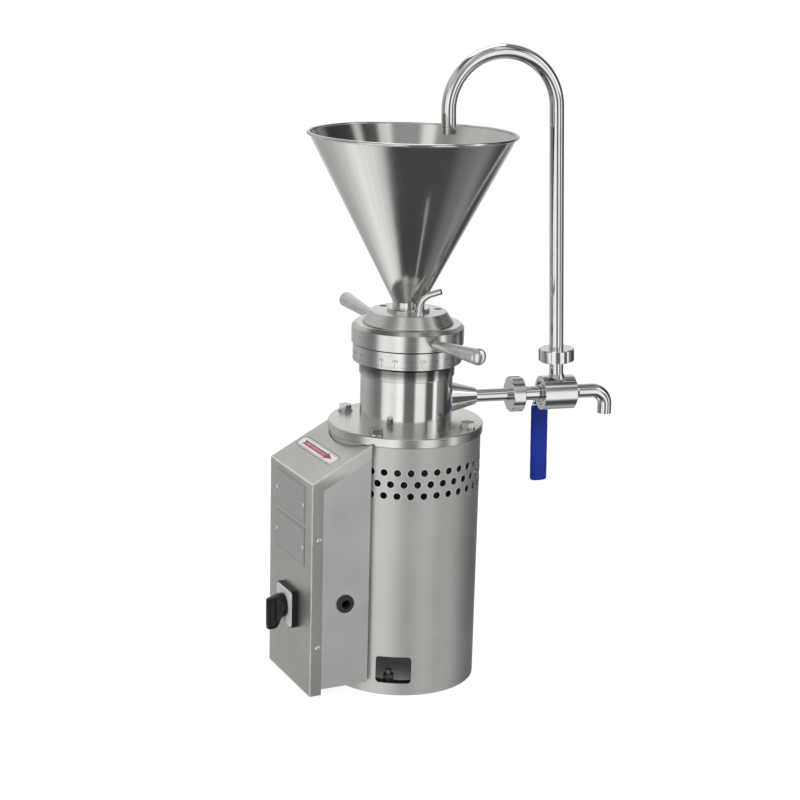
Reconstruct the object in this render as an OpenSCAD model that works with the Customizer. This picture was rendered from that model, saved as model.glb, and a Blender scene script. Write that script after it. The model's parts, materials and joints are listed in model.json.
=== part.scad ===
// Vertical colloid mill. Millimetres, Z up, origin at the centre of the foot on the floor.
// The control box is on -X, the outlet, valve and return tube are near +X.

/* [Drum] */
// Outer radius of the drum
drum_r = 100; // [97:0.5:103]
// Sheet thickness of the drum
drum_t = 2; // [1.5:0.5:3]
// Height of the drum
drum_h = 338; // [332:1:346]
// Diameter of a vent hole
vent_d = 9.4; // [6:0.2:10]
// Height between vent rows
vent_pitch = 15.4; // [13:0.2:18]
// Number of vent rows
vent_rows = 3; // [2:1:4]
// Vent places around one full row
vent_count = 36; // [30:2:40]
// Drop from the drum's upper edge to the top vent row
vent_drop = 33.2; // [28:0.2:40]
// Width of a foot window
window_w = 47; // [40:1:52]
// Height of a foot window
window_h = 37; // [30:1:42]
// Height of the window sill
window_sill = 16.5; // [13:0.5:20]
// Corner radius of a foot window
window_corner = 5; // [2:0.5:8]
// Direction of the front window
window_turn = -120.5; // [-125:0.5:-116]

/* [Foot] */
// Width of the base ring
base_w = 30; // [27:1:34]
// Thickness of the base ring
base_t = 8; // [6:0.5:11]
// Pitch circle of the hold-down holes
hold_pcd = 168; // [164:1:172]
// Diameter of a hold-down hole
hold_d = 11; // [8:0.5:13]
// Turn of the hold-down holes from the middle of their windows
hold_turn = 7.5; // [5:0.5:10]
// Diameter of the earth stud
earth_d = 8; // [6:1:10]
// Height of the earth stud above the base ring
earth_h = 22; // [18:1:26]

/* [Head plate] */
// Radius of the head plate
plate_r = 102.4; // [101:0.2:105]
// Thickness of the head plate
plate_t = 12.5; // [11:0.5:15]
// Width of the ring under the head plate
top_ring_w = 18; // [16:1:19]
// Height of the ring under the head plate
top_ring_h = 14; // [10:1:18]
// Pitch circle of the plate bolts
bolt_pcd = 178.6; // [176:0.2:180]
// Diameter of a plate bolt
bolt_d = 10; // [8:1:11]
// Direction of the first plate bolt
bolt_turn = -51; // [-56:1:-46]
// Diameter of a bolt washer
washer_d = 20; // [18:0.5:22]
// Thickness of a bolt washer
washer_t = 2; // [1.2:0.2:3]

/* [Motor] */
// Radius of the motor housing without fins
frame_r = 66; // [64:0.5:68]
// Wall of the motor housing
frame_wall = 6; // [4:0.5:7]
// Length of the motor housing
frame_h = 190; // [180:1:198]
// Height of a cooling fin
fin_h = 14; // [8:1:18]
// Thickness of a cooling fin
fin_t = 2.5; // [2:0.1:4]
// Number of cooling fins
fin_count = 30; // [20:2:36]
// Height of the upper end shield
shield_h = 38; // [36:0.5:42]
// Radius of the motor's mounting flange
flange_r = 76; // [75:0.5:78]
// Thickness of the motor's mounting flange
flange_t = 12; // [10:0.5:14]
// Radius of the centring spigot under the head plate
spigot_r = 40; // [36:1:44]
// Height of the centring spigot
spigot_h = 6; // [4:0.5:7]
// Pitch circle of the flange bolts
flange_pcd = 138; // [136:0.5:140]
// Diameter of a flange bolt
flange_bolt_d = 8; // [6:0.5:9]
// Thickness of the lower end shield
lower_t = 12; // [11:0.5:16]
// Length of the stator core
core_h = 110; // [90:1:118]
// Radial width of the stator core
core_w = 14; // [10:0.5:17]
// Overhang of the winding heads
coil_h = 22; // [16:1:26]
// Radius of the fan
fan_r = 58; // [50:1:61]
// Height of the fan
fan_h = 12; // [9:0.5:14]
// Number of fan blades
fan_blades = 8; // [6:1:12]
// Wall of the fan cowl
cowl_t = 1.5; // [1:0.25:2.5]

/* [Spindle] */
// Radius of the shaft at the bearings and the seal
shaft_r = 12.45; // [11.5:0.05:13]
// Radius of the shaft inside the motor
core_shaft_r = 14; // [13.5:0.5:16]
// Radius of the shaft under the grinding rotor
rotor_seat_r = 11; // [9.5:0.25:11.25]
// Radius of the shaft's ends
shaft_end_r = 8; // [6.5:0.25:9]
// Radius of a bearing's outside
bearing_r = 26; // [24:0.5:28]
// Width of a bearing
bearing_w = 15; // [12:0.5:16]
// Width of the rotor key
key_w = 5; // [4:0.5:6]
// Length of the rotor key
key_len = 40; // [25:1:48]

/* [Mill head] */
// Radius of the mill body
body_r = 61; // [60.5:0.5:64]
// Height of the mill body below its collar
body_h = 64.5; // [61:0.5:70]
// Radius of the collar under the dial
collar_r = 63; // [62:0.5:66]
// Width and depth of the groove under the collar
neck_groove = 1.4; // [0.8:0.1:2]
// Height of the collar
collar_h = 14.6; // [12:0.2:18]
// Wall of the threaded neck inside the dial
neck_wall = 6; // [5:0.25:6.5]
// Radius of the sliding stator holder
skirt_r = 50; // [49.5:0.25:50.5]
// Radius of the grinding stator's outside
stator_r = 45; // [44:0.25:45.5]
// Height of the grinding stator
stator_h = 42; // [38:0.5:46]
// Radius of the grinding rotor at its foot
rotor_r = 40; // [37:0.25:40.5]
// Radius of the grinding rotor at its top
rotor_top_r = 25; // [24:0.25:27]
// Height of the grinding cone
rotor_h = 46; // [42:0.5:50]
// Gap between the grinding faces, measured across
grind_gap = 0.6; // [0.4:0.05:1.2]
// Number of full-length grinding grooves
groove_count = 18; // [12:1:20]
// Width of a full-length groove
groove_w = 3.4; // [2.5:0.1:4]
// Depth of a grinding groove
groove_d = 2.4; // [1.5:0.1:3]
// Slant of the grooves
groove_slant = 14; // [5:1:20]

/* [Dial and cover] */
// Radius of the dial
dial_r = 73.8; // [71:0.2:77]
// Height of the graduated lower ring
dial_low_h = 24; // [21:0.5:27]
// Height of the upper ring that carries the handles
dial_up_h = 26.3; // [23:0.1:30]
// Step from the upper ring in to the graduated ring
dial_step = 2; // [0.5:0.25:3]
// Gap under the dial
dial_gap = 2; // [1:0.25:3]
// Edge chamfer of the dial
dial_chamfer = 4.4; // [2:0.2:6]
// Radius of the cover's edge
cover_r = 59.4; // [59:0.2:63]
// Radius of the cover's flat top
cover_top_r = 49.9; // [47:0.2:52]
// Height of the cover's bevel
bevel_h = 14.4; // [12:0.2:17]
// Thickness of the cover above the stator
cover_t = 19.5; // [18:0.5:22]
// Width of the seam round the cover's edge
seam_w = 0.8; // [0.4:0.1:1.5]
// Depth of the seam under the cover's edge
seam_d = 1.6; // [0.5:0.1:2.5]
// Pitch radius of the spanner holes
spanner_r = 40.5; // [38:0.25:44]
// Diameter of a spanner hole
spanner_d = 10; // [7:0.5:11]
// Direction of the first handle
handle_turn = -88.9; // [-100:0.1:-80]
// Upward tilt of the handles
handle_tilt = 4.6; // [0:0.2:7]
// Length of a handle grip
grip_len = 115; // [90:0.5:119]
// Radius of a grip at the dial
grip_r0 = 5.5; // [5.5:0.25:8]
// Radius of a grip at its end
grip_r1 = 10.5; // [8:0.25:12]
// Radius of a handle stud
stud_r = 4; // [3:0.25:5]

/* [Hopper] */
// Radius of the hopper's rim
rim_r = 133.3; // [125:0.5:140]
// Height of the hopper cone
cone_h = 216; // [205:1:228]
// Sheet thickness of the hopper
hopper_t = 1.5; // [1:0.25:2.5]
// Radius of the rolled bead
bead_r = 2.2; // [1.8:0.1:3]
// Radius of the neck
throat_r = 21; // [20:0.25:23]
// Bore of the neck
throat_bore = 17; // [16:0.25:18]
// Height of the neck
throat_h = 8; // [6:0.5:12]
// Radius of the neck's flange
neck_flange_r = 28; // [26:0.5:30]
// Thickness of the neck's flange
neck_flange_t = 4.5; // [3.5:0.5:8]

/* [Coolant nipple] */
// Radius of the nipple
nipple_r = 4; // [3.5:0.1:4.5]
// Bore radius of the nipple
nipple_bore = 3; // [2:0.1:3]
// Pitch radius of the nipple on the cover
nipple_at = 35.4; // [34.6:0.2:36.6]
// Bend radius of the nipple
nipple_bend = 22; // [16:0.5:26]
// Height where the nipple's bend starts
nipple_rise = 7.5; // [6:0.5:12]
// Straight end of the nipple
nipple_end = 14; // [12:0.5:24]
// Upward tilt of the nipple's end
nipple_tilt = 20; // [10:1:35]
// Direction of the nipple's end
nipple_turn = -39; // [-60:1:-30]

/* [Outlet and valve] */
// Direction of the outlet
outlet_turn = -10; // [-14:0.5:-4]
// Height of the outlet axis above the head plate
outlet_rise = 27.5; // [26:0.25:30]
// Distance of the valve's middle from the mill axis
valve_x = 211; // [209:0.5:216]
// Distance of the pipe union's face from the valve's middle
union_reach = 56.5; // [54:0.5:62]
// Radius of the boss at the mill body
boss_r = 25; // [20:0.5:25.5]
// Distance of the boss's small end from the mill axis
boss_reach = 95; // [90:0.5:105]
// Radius of the outlet pipe
pipe_r = 8.5; // [8:0.1:9.5]
// Bore radius of the outlet pipe
pipe_bore = 7; // [5.5:0.1:7]
// Radius of the tubes
tube_r = 9.5; // [9.2:0.1:10]
// Bore radius of the tubes and the valve
tube_bore = 8; // [7:0.1:8.2]
// Radius of a union nut
nut_r = 24; // [23:0.25:25]
// Length of a union nut
nut_len = 17; // [15.5:0.5:20]
// Thickness of a union nut's end wall
nut_wall = 6; // [5:0.25:7]
// Radius of the male union ends
male_r = 20; // [19:0.25:20.5]
// Radius of a ferrule
ferrule_r = 18; // [16:0.25:18.5]
// Thickness of a ferrule
ferrule_t = 5; // [3.5:0.25:6]
// Number of spanner slots in a union nut
nut_slots = 6; // [4:1:8]
// Width of a spanner slot
slot_w = 5; // [4:0.25:6]
// Radius of the valve housing
valve_r = 23; // [22:0.25:24]
// Half length of the valve housing
valve_half = 22.5; // [21:0.25:24]
// Radius of the valve ball
ball_r = 15.5; // [15:0.1:15.8]
// Radius of the ball's seats
ball_seat_r = 13; // [12.5:0.1:13.5]
// Distance of the seats' outer faces from the valve's middle
ball_seat_x = 18; // [17.5:0.1:18.5]
// Radius of the boss for the bonnet
gland_r = 15.5; // [15:0.25:17]
// Reach of the boss for the bonnet
gland_y = 32; // [30:0.5:34]
// Radius of the bonnet
bonnet_r = 12; // [11:0.25:12.5]
// Thickness of the bonnet's hexagon
bonnet_hex = 6; // [5:0.5:8]
// Depth of the ring recess in the valve's face
face_depth = 3; // [1:0.25:3.5]
// Reach of the spout past the valve
spout_x = 71; // [66:0.5:76]
// Bend radius of the spout
spout_bend = 20; // [16:0.5:24]
// Drop of the spout's mouth below the outlet axis
spout_drop = 32; // [29:0.5:48]

/* [Return tube] */
// Distance between the legs of the return tube
leg_gap = 146.7; // [130:0.5:155]
// Height of the bend's start above the outlet axis
bend_rise = 383; // [375:1:395]
// Length of the short leg
short_leg = 28; // [10:1:36]
// Lean of the return tube towards the hopper
tube_lean = 2.7; // [0:0.1:4]
// Height of the union face above the outlet axis
union_rise = 50; // [48:0.5:56]

/* [Valve handle] */
// Distance of the lever behind the valve axis
lever_y = 64; // [58:0.5:68]
// Lean of the lever from plumb
lever_lean = 1.5; // [0:0.1:3]
// Width of the lever
lever_w = 20; // [16:0.5:22]
// Thickness of the lever
lever_t = 4; // [3:0.25:5]
// Length of the lever from the stem
lever_len = 140; // [120:1:150]
// Width of the grip sleeve
sleeve_w = 24; // [23:0.25:28]
// Thickness of the grip sleeve
sleeve_t = 9; // [7:0.25:12]
// Length of the grip sleeve
sleeve_len = 110; // [80:1:112]
// Radius of the stem
stem_r = 5; // [4:0.1:5.4]

/* [Control box] */
// Distance of the box front from the drum axis
box_front = 162.7; // [158:0.5:170]
// Width of the box
box_w = 140.5; // [132:0.5:150]
// Height of the box's lower edge
box_z = 9.6; // [4:0.2:14]
// Height of the front face's upper edge
box_h = 297.2; // [285:0.2:299]
// Slope of the box top
box_slope = 27.9; // [22:0.1:30]
// Sheet thickness of the box cover
cover_sheet = 1.2; // [1:0.1:2]
// Width of the cover's side flanges
strip_w = 16; // [14:0.5:20]
// Sheet thickness of the side panels
panel_t = 1.5; // [1:0.1:2.5]
// Gap between a side panel's edge and the drum
panel_gap = 8.2; // [4:0.2:12]
// Gap between the box and the head plate
plate_gap = 2.5; // [0.5:0.5:4]
// Height of the box floor
panel_z = 17; // [15:0.5:22]
// Height of the upper cover screws
screw_z1 = 222; // [205:1:240]
// Height of the lower cover screws
screw_z0 = 76; // [60:1:95]
// Length of a bare plate
name_w = 94; // [80:0.5:104]
// Height of a bare plate
name_h = 51; // [44:0.5:54]
// Height of the upper bare plate's middle
name_z1 = 263.5; // [262:0.5:266]
// Height of the lower bare plate's middle
name_z0 = 206.5; // [200:0.5:207]
// Length of the arrow plate
arrow_w = 116; // [90:1:120]
// Width of the arrow plate
arrow_h = 19.5; // [15:0.5:24]
// Distance of the arrow plate's middle up the slope
arrow_up = 44.8; // [40:0.2:52]
// Distance of the arrow plate's middle to one side
arrow_side = 5.5; // [-6:0.5:7]
// Height of the switch
switch_z = 114; // [105:0.5:125]
// Width of the switch base
switch_w = 52; // [46:0.5:58]
// Depth of the switch base
switch_d = 7.5; // [5:0.25:10]
// Radius of the switch knob's hub
knob_r = 13; // [11:0.5:16]
// Depth of the switch knob
knob_d = 23; // [18:0.5:26]
// Distance of the cable inlet from the box front
inlet_x = 48.7; // [42:0.5:56]
// Height of the cable inlet
inlet_z = 131; // [115:1:150]
// Radius of the cable inlet's bore
inlet_r = 6; // [4:0.5:7]

/* [Fits] */
// Radial play of turning and sliding fits
play = 0.05; // [0.02:0.01:0.1]
// Free gap between pieces that move past each other
free_gap = 0.4; // [0.3:0.05:0.5]
// Hairline between two lengths of the return tube at their weld
weld_gap = 0.05; // [0.02:0.01:0.1]

/* [Hidden] */
$fn = 72;
tiny = 0.01;
through = 400;
// Heights of the mill head
z_top = drum_h + plate_t;
z_out = z_top + outlet_rise;
z_collar = z_top + body_h;
z_neck = z_collar + collar_h;
z_dial = z_neck + dial_gap;
z_split = z_dial + dial_low_h;
z_dial_top = z_split + dial_up_h;
z_cover = z_dial_top + free_gap;
cover_lip = 0.8;
z_cover_top = z_cover + cover_lip + bevel_h;
pivot_h = 11.3;
lift_room = 2.5;
z_body_top = z_cover - pivot_h - lift_room;
z_stator_top = z_cover_top - cover_t;
z_stator = z_stator_top - stator_h;
z_rotor_top = z_stator_top - 2;
z_cone = z_rotor_top - rotor_h;
z_hub = z_top + 15.5;
cone_rate = (rotor_r - rotor_top_r) / rotor_h;
cone_angle = atan(cone_rate);
// Radii of the mill head, each from the piece inside it
bore_r = skirt_r + play;
neck_r = bore_r + neck_wall;
dial_bore = neck_r + free_gap;
pivot_bore = dial_bore + 0.5;
pivot_r = pivot_bore - play;
inlet_bore = throat_r + 1;
pin_at = bore_r + neck_wall / 2;
pin_r = neck_wall / 4;
// Hopper heights
z_flange = z_cover_top + neck_flange_t;
z_throat = z_flange + throat_h;
z_rim = z_throat + cone_h;
// Motor heights, hung from the head plate
z_frame_top = drum_h - shield_h;
z_frame = z_frame_top - frame_h;
z_lower = z_frame - lower_t;
bearing_bore = shaft_r + play;
z_bear_top = drum_h - 20 - bearing_w;
z_bear_low = z_lower + lower_t / 2;
core_r = frame_r - frame_wall;
core_bore = core_r - core_w;
z_core = (z_frame + z_frame_top - core_h) / 2;
z_fan = z_lower - 4 - fan_h;
z_cowl = z_fan - fan_h;
seat_r = bearing_r - 6;
z_seat = drum_h + spigot_h;
z_seal = z_top + 1.5;
// Union and valve places along the outlet axis
union_x = valve_x - union_reach;
cavity_r = ball_r + 0.5;
stem_in = ball_r * 0.71;
male_len = nut_len - ferrule_t - nut_wall + 1;
stem_shoulder = gland_y + bonnet_hex + 3;
sleeve_low = lever_len + 4 - sleeve_len;
// Box faces
half_w = box_w / 2;
panel_y = half_w - cover_sheet;
plate_clear = plate_r + plate_gap;
x_end = sqrt(drum_r * drum_r - panel_y * panel_y) + panel_gap;
lip_in = sqrt(drum_r * drum_r - (x_end + panel_t) * (x_end + panel_t));
screw_x = -box_front + strip_w * 0.65;
label_t = 0.6;
// Return tube
bend_r = leg_gap / 2;

function slope_z(x, inset) = box_h + tan(box_slope) * (x + box_front) - inset / cos(box_slope);
function cone_at(z) = rotor_r - cone_rate * (z - z_cone);

// Frame of the outlet: x out along the pipe, z up
module on_outlet() {
    rotate([0, 0, outlet_turn]) translate([0, 0, z_out]) children();
}

// Frame of the leaning return tube: z up along the tube from the valve's middle
module on_lean() {
    on_outlet() translate([valve_x, 0, 0]) rotate([0, -tube_lean, 0]) children();
}

// Cylinder along x
module bar_x(x0, x1, r, r2 = -1) {
    translate([x0, 0, 0]) rotate([0, 90, 0]) cylinder(h = x1 - x0, r1 = r, r2 = r2 < 0 ? r : r2);
}

// Cylinder along y
module bar_y(y0, y1, r) {
    translate([0, y0, 0]) rotate([-90, 0, 0]) cylinder(h = y1 - y0, r = r);
}

// Places of the plate bolts
module at_bolts() {
    for (i = [0:3]) rotate([0, 0, bolt_turn + 90 * i]) translate([bolt_pcd / 2, 0, 0]) children();
}

// Places of the motor flange bolts
module at_flange_bolts() {
    for (i = [0:3]) rotate([0, 0, 45 + 90 * i]) translate([flange_pcd / 2, 0, 0]) children();
}

// Slotted outline of a union nut from 0 to its length, end wall at the far end
module union_nut(hole_r) {
    difference() {
        cylinder(h = nut_len, r = nut_r);
        translate([0, 0, -1]) cylinder(h = nut_len - nut_wall + 1, r = male_r);
        cylinder(h = nut_len + 1, r = hole_r);
        for (i = [0:nut_slots - 1]) rotate([0, 0, 360 / nut_slots * i])
            translate([nut_r * 0.9, -slot_w / 2, -1]) cube([slot_w, slot_w, nut_len + 2]);
        for (z = [-tiny, nut_len - 1 + tiny]) translate([0, 0, z]) difference() {
            cylinder(h = 1, r = nut_r + 2);
            translate([0, 0, -tiny]) cylinder(h = 1 + 2 * tiny, r1 = z < 0 ? nut_r - 1 : nut_r,
                r2 = z < 0 ? nut_r : nut_r - 1);
        }
    }
}

// Prism of the box outline, set in from its front and slope
module box_prism(inset, low, half) {
    x0 = -box_front + inset;
    x1 = -drum_r / 2;
    rotate([90, 0, 0]) linear_extrude(2 * half, center = true)
        polygon([[x0, low], [x0, slope_z(x0, inset)], [x1, slope_z(x1, inset)], [x1, low]]);
}

// Frame on the slope of the box: x up the slope, z off the surface
module on_slope() {
    translate([-box_front, 0, box_h]) rotate([0, -box_slope, 0]) children();
}

// Frame on the box front: x up, y along, z out
module on_front(z) {
    translate([-box_front, 0, z]) rotate([0, -90, 0]) children();
}

// Frame of one handle: x out along it from the dial's side
module on_handle(i) {
    rotate([0, 0, handle_turn + 180 * i]) translate([dial_r, 0, z_split + dial_up_h * 0.42])
        rotate([0, -handle_tilt, 0]) children();
}

// Slanted cutters that follow the grinding cone
module groove_set(count, width, depth, low, high, turn, slant) {
    z_mid = (low + high) / 2;
    for (i = [0:count - 1]) rotate([0, 0, turn + 360 / count * i]) translate([cone_at(z_mid), 0, z_mid])
        rotate([0, -cone_angle, 0]) rotate([slant, 0, 0])
            cube([2 * depth, width, (high - low) / cos(cone_angle) / cos(slant)], center = true);
}

module drum() {
    shade = asin(min(0.95, (lip_in + vent_d / 2) / drum_r));
    window_in = drum_r * 0.6;
    color("silver") difference() {
        cylinder(h = drum_h, r = drum_r);
        translate([0, 0, -1]) cylinder(h = drum_h + 2, r = drum_r - drum_t);
        for (row = [0:vent_rows - 1]) for (i = [0:vent_count - 1]) {
            a = -1 + 360 / vent_count * (i + row % 2 / 2);
            off = abs((a + 540) % 360 - 180);
            if (off < 180 - shade) rotate([0, 0, a]) translate([drum_r - drum_t - 2, 0,
                drum_h - vent_drop - vent_pitch * row])
                rotate([0, 90, 0]) cylinder(h = drum_t + 4, d = vent_d, $fn = 24);
        }
        for (i = [0:2]) rotate([0, 0, window_turn + 120 * i]) translate([drum_r * 0.8, 0,
            window_sill + window_h / 2]) {
            cube([window_in, window_w - 2 * window_corner, window_h], center = true);
            cube([window_in, window_w, window_h - 2 * window_corner], center = true);
            for (y = [-1, 1], z = [-1, 1])
                translate([0, y * (window_w / 2 - window_corner), z * (window_h / 2 - window_corner)])
                    rotate([0, 90, 0]) cylinder(h = window_in, r = window_corner, center = true, $fn = 32);
        }
        translate([-drum_r - 5, 0, switch_z + 60]) rotate([0, 90, 0]) cylinder(h = 15, r = 12);
    }
}

module base_ring() {
    color("dimgray") difference() {
        cylinder(h = base_t, r = drum_r - drum_t);
        translate([0, 0, -1]) cylinder(h = base_t + 2, r = drum_r - drum_t - base_w);
        for (i = [0:2]) rotate([0, 0, window_turn + hold_turn + 120 * i]) translate([hold_pcd / 2, 0, -1])
            cylinder(h = base_t + 2, d = hold_d);
    }
}

module earth_stud() {
    color("silver") rotate([0, 0, window_turn - 5]) translate([hold_pcd / 2, 0, base_t]) {
        cylinder(h = earth_h, d = earth_d);
        cylinder(h = earth_d * 0.8, d = earth_d * 1.85, $fn = 6);
        translate([0, 0, earth_d * 1.1]) cylinder(h = earth_d * 0.8, d = earth_d * 1.85, $fn = 6);
    }
}

module top_ring() {
    color("dimgray") difference() {
        translate([0, 0, drum_h - top_ring_h]) cylinder(h = top_ring_h, r = drum_r - drum_t);
        translate([0, 0, drum_h - top_ring_h - 1]) cylinder(h = top_ring_h + 2,
            r = drum_r - drum_t - top_ring_w);
        at_bolts() translate([0, 0, drum_h - top_ring_h - 1]) cylinder(h = top_ring_h + 2, d = bolt_d);
    }
}

module plate() {
    color("silver") difference() {
        translate([0, 0, drum_h]) rotate_extrude()
            polygon([[0, 0], [plate_r - 1, 0], [plate_r, 1], [plate_r, plate_t - 1], [plate_r - 1,
                plate_t], [0, plate_t]]);
        translate([0, 0, drum_h - 1]) cylinder(h = spigot_h + 1, r = spigot_r);
        translate([0, 0, drum_h]) cylinder(h = plate_t + 1, r = seat_r);
        at_bolts() translate([0, 0, drum_h - 1]) cylinder(h = plate_t + 2, d = bolt_d + 1);
        at_flange_bolts() translate([0, 0, drum_h - 1]) cylinder(h = plate_t - 2.5, d = flange_bolt_d);
    }
}

module plate_washers() {
    color("silver") at_bolts() translate([0, 0, z_top]) difference() {
        cylinder(h = washer_t, d = washer_d);
        translate([0, 0, -1]) cylinder(h = washer_t + 2, d = bolt_d + 0.6);
    }
}

module plate_bolts() {
    color("silver") at_bolts() translate([0, 0, z_top + washer_t]) {
        cylinder(h = bolt_d * 0.64, d = bolt_d * 1.85, $fn = 6);
        translate([0, 0, -washer_t - plate_t - top_ring_h + 2])
            cylinder(h = washer_t + plate_t + top_ring_h - 2, d = bolt_d);
    }
}

module mill_body() {
    color("gainsboro") difference() {
        rotate_extrude() polygon([
            [bore_r, z_top], [body_r, z_top], [body_r, z_collar - neck_groove],
            [body_r - neck_groove, z_collar - neck_groove], [body_r - neck_groove, z_collar],
                [collar_r, z_collar], [collar_r, z_neck - 1], [collar_r - 1, z_neck],
            [neck_r, z_neck], [neck_r, z_body_top - 1], [neck_r - 1, z_body_top], [bore_r, z_body_top]]);
        on_outlet() bar_x(bore_r - 20, body_r + 20, pipe_bore);
        for (i = [0, 1]) rotate([0, 0, 45 + 180 * i]) translate([pin_at, 0, z_body_top - 3 * neck_wall])
            cylinder(h = 3 * neck_wall + 2, r = pin_r + play);
    }
}

module outlet_pipe() {
    color("silver") difference() {
        on_outlet() {
            bar_x(bore_r - neck_wall, boss_reach, boss_r, pipe_r + 3);
            bar_x(boss_reach - 1, union_x, pipe_r);
            bar_x(union_x - ferrule_t, union_x, ferrule_r);
        }
        cylinder(h = z_neck, r = body_r);
        translate([0, 0, z_collar - 1]) cylinder(h = collar_r, r1 = body_r, r2 = body_r + collar_r);
        on_outlet() bar_x(0, union_x + 1, pipe_bore);
    }
}

module pipe_nut() {
    color("silver") on_outlet() translate([union_x - ferrule_t - nut_wall, 0, 0]) rotate([0, 90, 0])
        translate([0, 0, nut_len]) mirror([0, 0, 1]) union_nut(pipe_r + 0.2);
}

module valve_body() {
    x_face = valve_x - valve_half;
    color("silver") difference() {
        union() {
            on_outlet() {
                bar_x(union_x, union_x + male_len, male_r);
                bar_x(union_x, valve_x, tube_r);
                bar_x(x_face, valve_x + valve_half, valve_r);
                bar_x(valve_x + valve_half, valve_x + valve_half + 8, valve_r, tube_r);
                translate([valve_x, 0, 0]) bar_y(0, gland_y, gland_r);
            }
            on_lean() {
                cylinder(h = union_rise, r = tube_r);
                translate([0, 0, valve_r * 0.8]) cylinder(h = valve_r * 0.35, r1 = tube_r * 1.35,
                    r2 = tube_r);
                translate([0, 0, union_rise - male_len]) cylinder(h = male_len, r = male_r);
            }
        }
        on_outlet() {
            bar_x(union_x - 1, valve_x + valve_half + 9, tube_bore);
            translate([valve_x, 0, 0]) sphere(r = cavity_r);
            translate([valve_x, 0, 0]) bar_y(0, gland_y + 1, bonnet_r);
            bar_x(valve_x - ball_seat_x, valve_x + ball_seat_x, ball_seat_r);
            difference() {
                bar_x(x_face - 1, x_face + face_depth, valve_r * 0.8);
                bar_x(x_face - 2, x_face + face_depth + 1, tube_r * 1.25);
            }
        }
        on_lean() cylinder(h = union_rise + 1, r = tube_bore);
    }
}

module valve_seats() {
    color("white") on_outlet() difference() {
        union() {
            bar_x(valve_x - ball_seat_x, valve_x - stem_in, ball_seat_r);
            bar_x(valve_x + stem_in, valve_x + ball_seat_x, ball_seat_r);
        }
        bar_x(valve_x - valve_half, valve_x + valve_half, tube_bore);
        translate([valve_x, 0, 0]) sphere(r = ball_r + free_gap);
        translate([valve_x, 0, 0]) bar_y(0, gland_y + 1, bonnet_r + 0.5);
    }
}

module valve_bonnet() {
    color("silver") on_outlet() translate([valve_x, 0, 0]) difference() {
        union() {
            bar_y(cavity_r, gland_y, bonnet_r);
            translate([0, gland_y, 0]) rotate([-90, 0, 0]) cylinder(h = bonnet_hex,
                r = bonnet_r * 1.25, $fn = 6);
        }
        bar_y(0, lever_y, stem_r + play);
    }
}

module tube_nut() {
    color("silver") on_lean() translate([0, 0, union_rise + ferrule_t + nut_wall - nut_len])
        union_nut(tube_r + 0.2);
}

module return_tube() {
    color("silver") on_lean() difference() {
        union() {
            translate([0, 0, union_rise]) cylinder(h = ferrule_t, r = ferrule_r);
            translate([0, 0, union_rise]) cylinder(h = bend_rise - union_rise, r = tube_r);
            translate([-bend_r, 0, bend_rise]) rotate([90, 0, 0]) rotate_extrude(angle = 180)
                translate([bend_r, 0]) circle(r = tube_r);
            translate([-leg_gap, 0, bend_rise - short_leg]) cylinder(h = short_leg - weld_gap, r = tube_r);
        }
        translate([0, 0, union_rise - 1]) cylinder(h = bend_rise - union_rise + 1, r = tube_bore);
        translate([-bend_r, 0, bend_rise]) rotate([90, 0, 0]) rotate_extrude(angle = 180)
            translate([bend_r, 0]) circle(r = tube_bore);
        translate([-leg_gap, 0, bend_rise - short_leg - 1]) cylinder(h = short_leg + 1, r = tube_bore);
    }
}

module spout() {
    x0 = valve_x + valve_half + 8;
    x1 = valve_x + spout_x - spout_bend;
    color("silver") on_outlet() difference() {
        union() {
            bar_x(x0, x1, tube_r);
            translate([x1, 0, -spout_bend]) rotate([90, 0, 0]) rotate_extrude(angle = 90)
                translate([spout_bend, 0]) circle(r = tube_r);
            translate([x1 + spout_bend, 0, -spout_drop]) cylinder(h = spout_drop - spout_bend, r = tube_r);
        }
        bar_x(x0 - 1, x1, tube_bore);
        translate([x1, 0, -spout_bend]) rotate([90, 0, 0]) rotate_extrude(angle = 90)
            translate([spout_bend, 0]) circle(r = tube_bore);
        translate([x1 + spout_bend, 0, -spout_drop - 1]) cylinder(h = spout_drop - spout_bend + 1,
            r = tube_bore);
    }
}

module seal_seat() {
    color("dimgray") rotate_extrude()
        polygon([[shaft_r + 0.75, z_seat], [seat_r, z_seat], [seat_r, z_top], [seat_r - 2, z_seal],
            [shaft_r + 0.75, z_seal]]);
}

module motor_flange() {
    z0 = z_frame_top;
    color("slategray") difference() {
        rotate_extrude() polygon([
            [shaft_r + 3.5, z0 + 2], [frame_r - 6, z0 + 2], [frame_r - 6, z0], [frame_r, z0], [frame_r,
                z0 + 6],
            [frame_r - 8, z0 + 14], [frame_r - 8, drum_h - flange_t], [flange_r, drum_h - flange_t],
            [flange_r, drum_h], [spigot_r, drum_h], [spigot_r, z_seat], [shaft_r + 3.5, z_seat]]);
        translate([0, 0, z0 - 1]) cylinder(h = z_bear_top + bearing_w - z0 + 1, r = bearing_r);
        at_flange_bolts() translate([0, 0, drum_h - flange_t - 1]) cylinder(h = flange_t + 2,
            d = flange_bolt_d);
    }
}

module flange_bolts() {
    color("silver") at_flange_bolts() translate([0, 0, drum_h - flange_t]) {
        translate([0, 0, -flange_bolt_d * 0.65]) cylinder(h = flange_bolt_d * 0.65,
            d = flange_bolt_d * 1.6, $fn = 6);
        cylinder(h = flange_t + plate_t - 4, d = flange_bolt_d);
    }
}

module motor_frame() {
    color("slategray") difference() {
        union() {
            translate([0, 0, z_frame]) cylinder(h = frame_h, r = frame_r);
            for (i = [0:fin_count - 1]) rotate([0, 0, 360 / fin_count * i])
                translate([frame_r - 2, -fin_t / 2, z_frame + 10]) cube([fin_h + 2, fin_t, frame_h - 20]);
        }
        translate([0, 0, z_frame - 1]) cylinder(h = frame_h + 2, r = core_r);
    }
}

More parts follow.
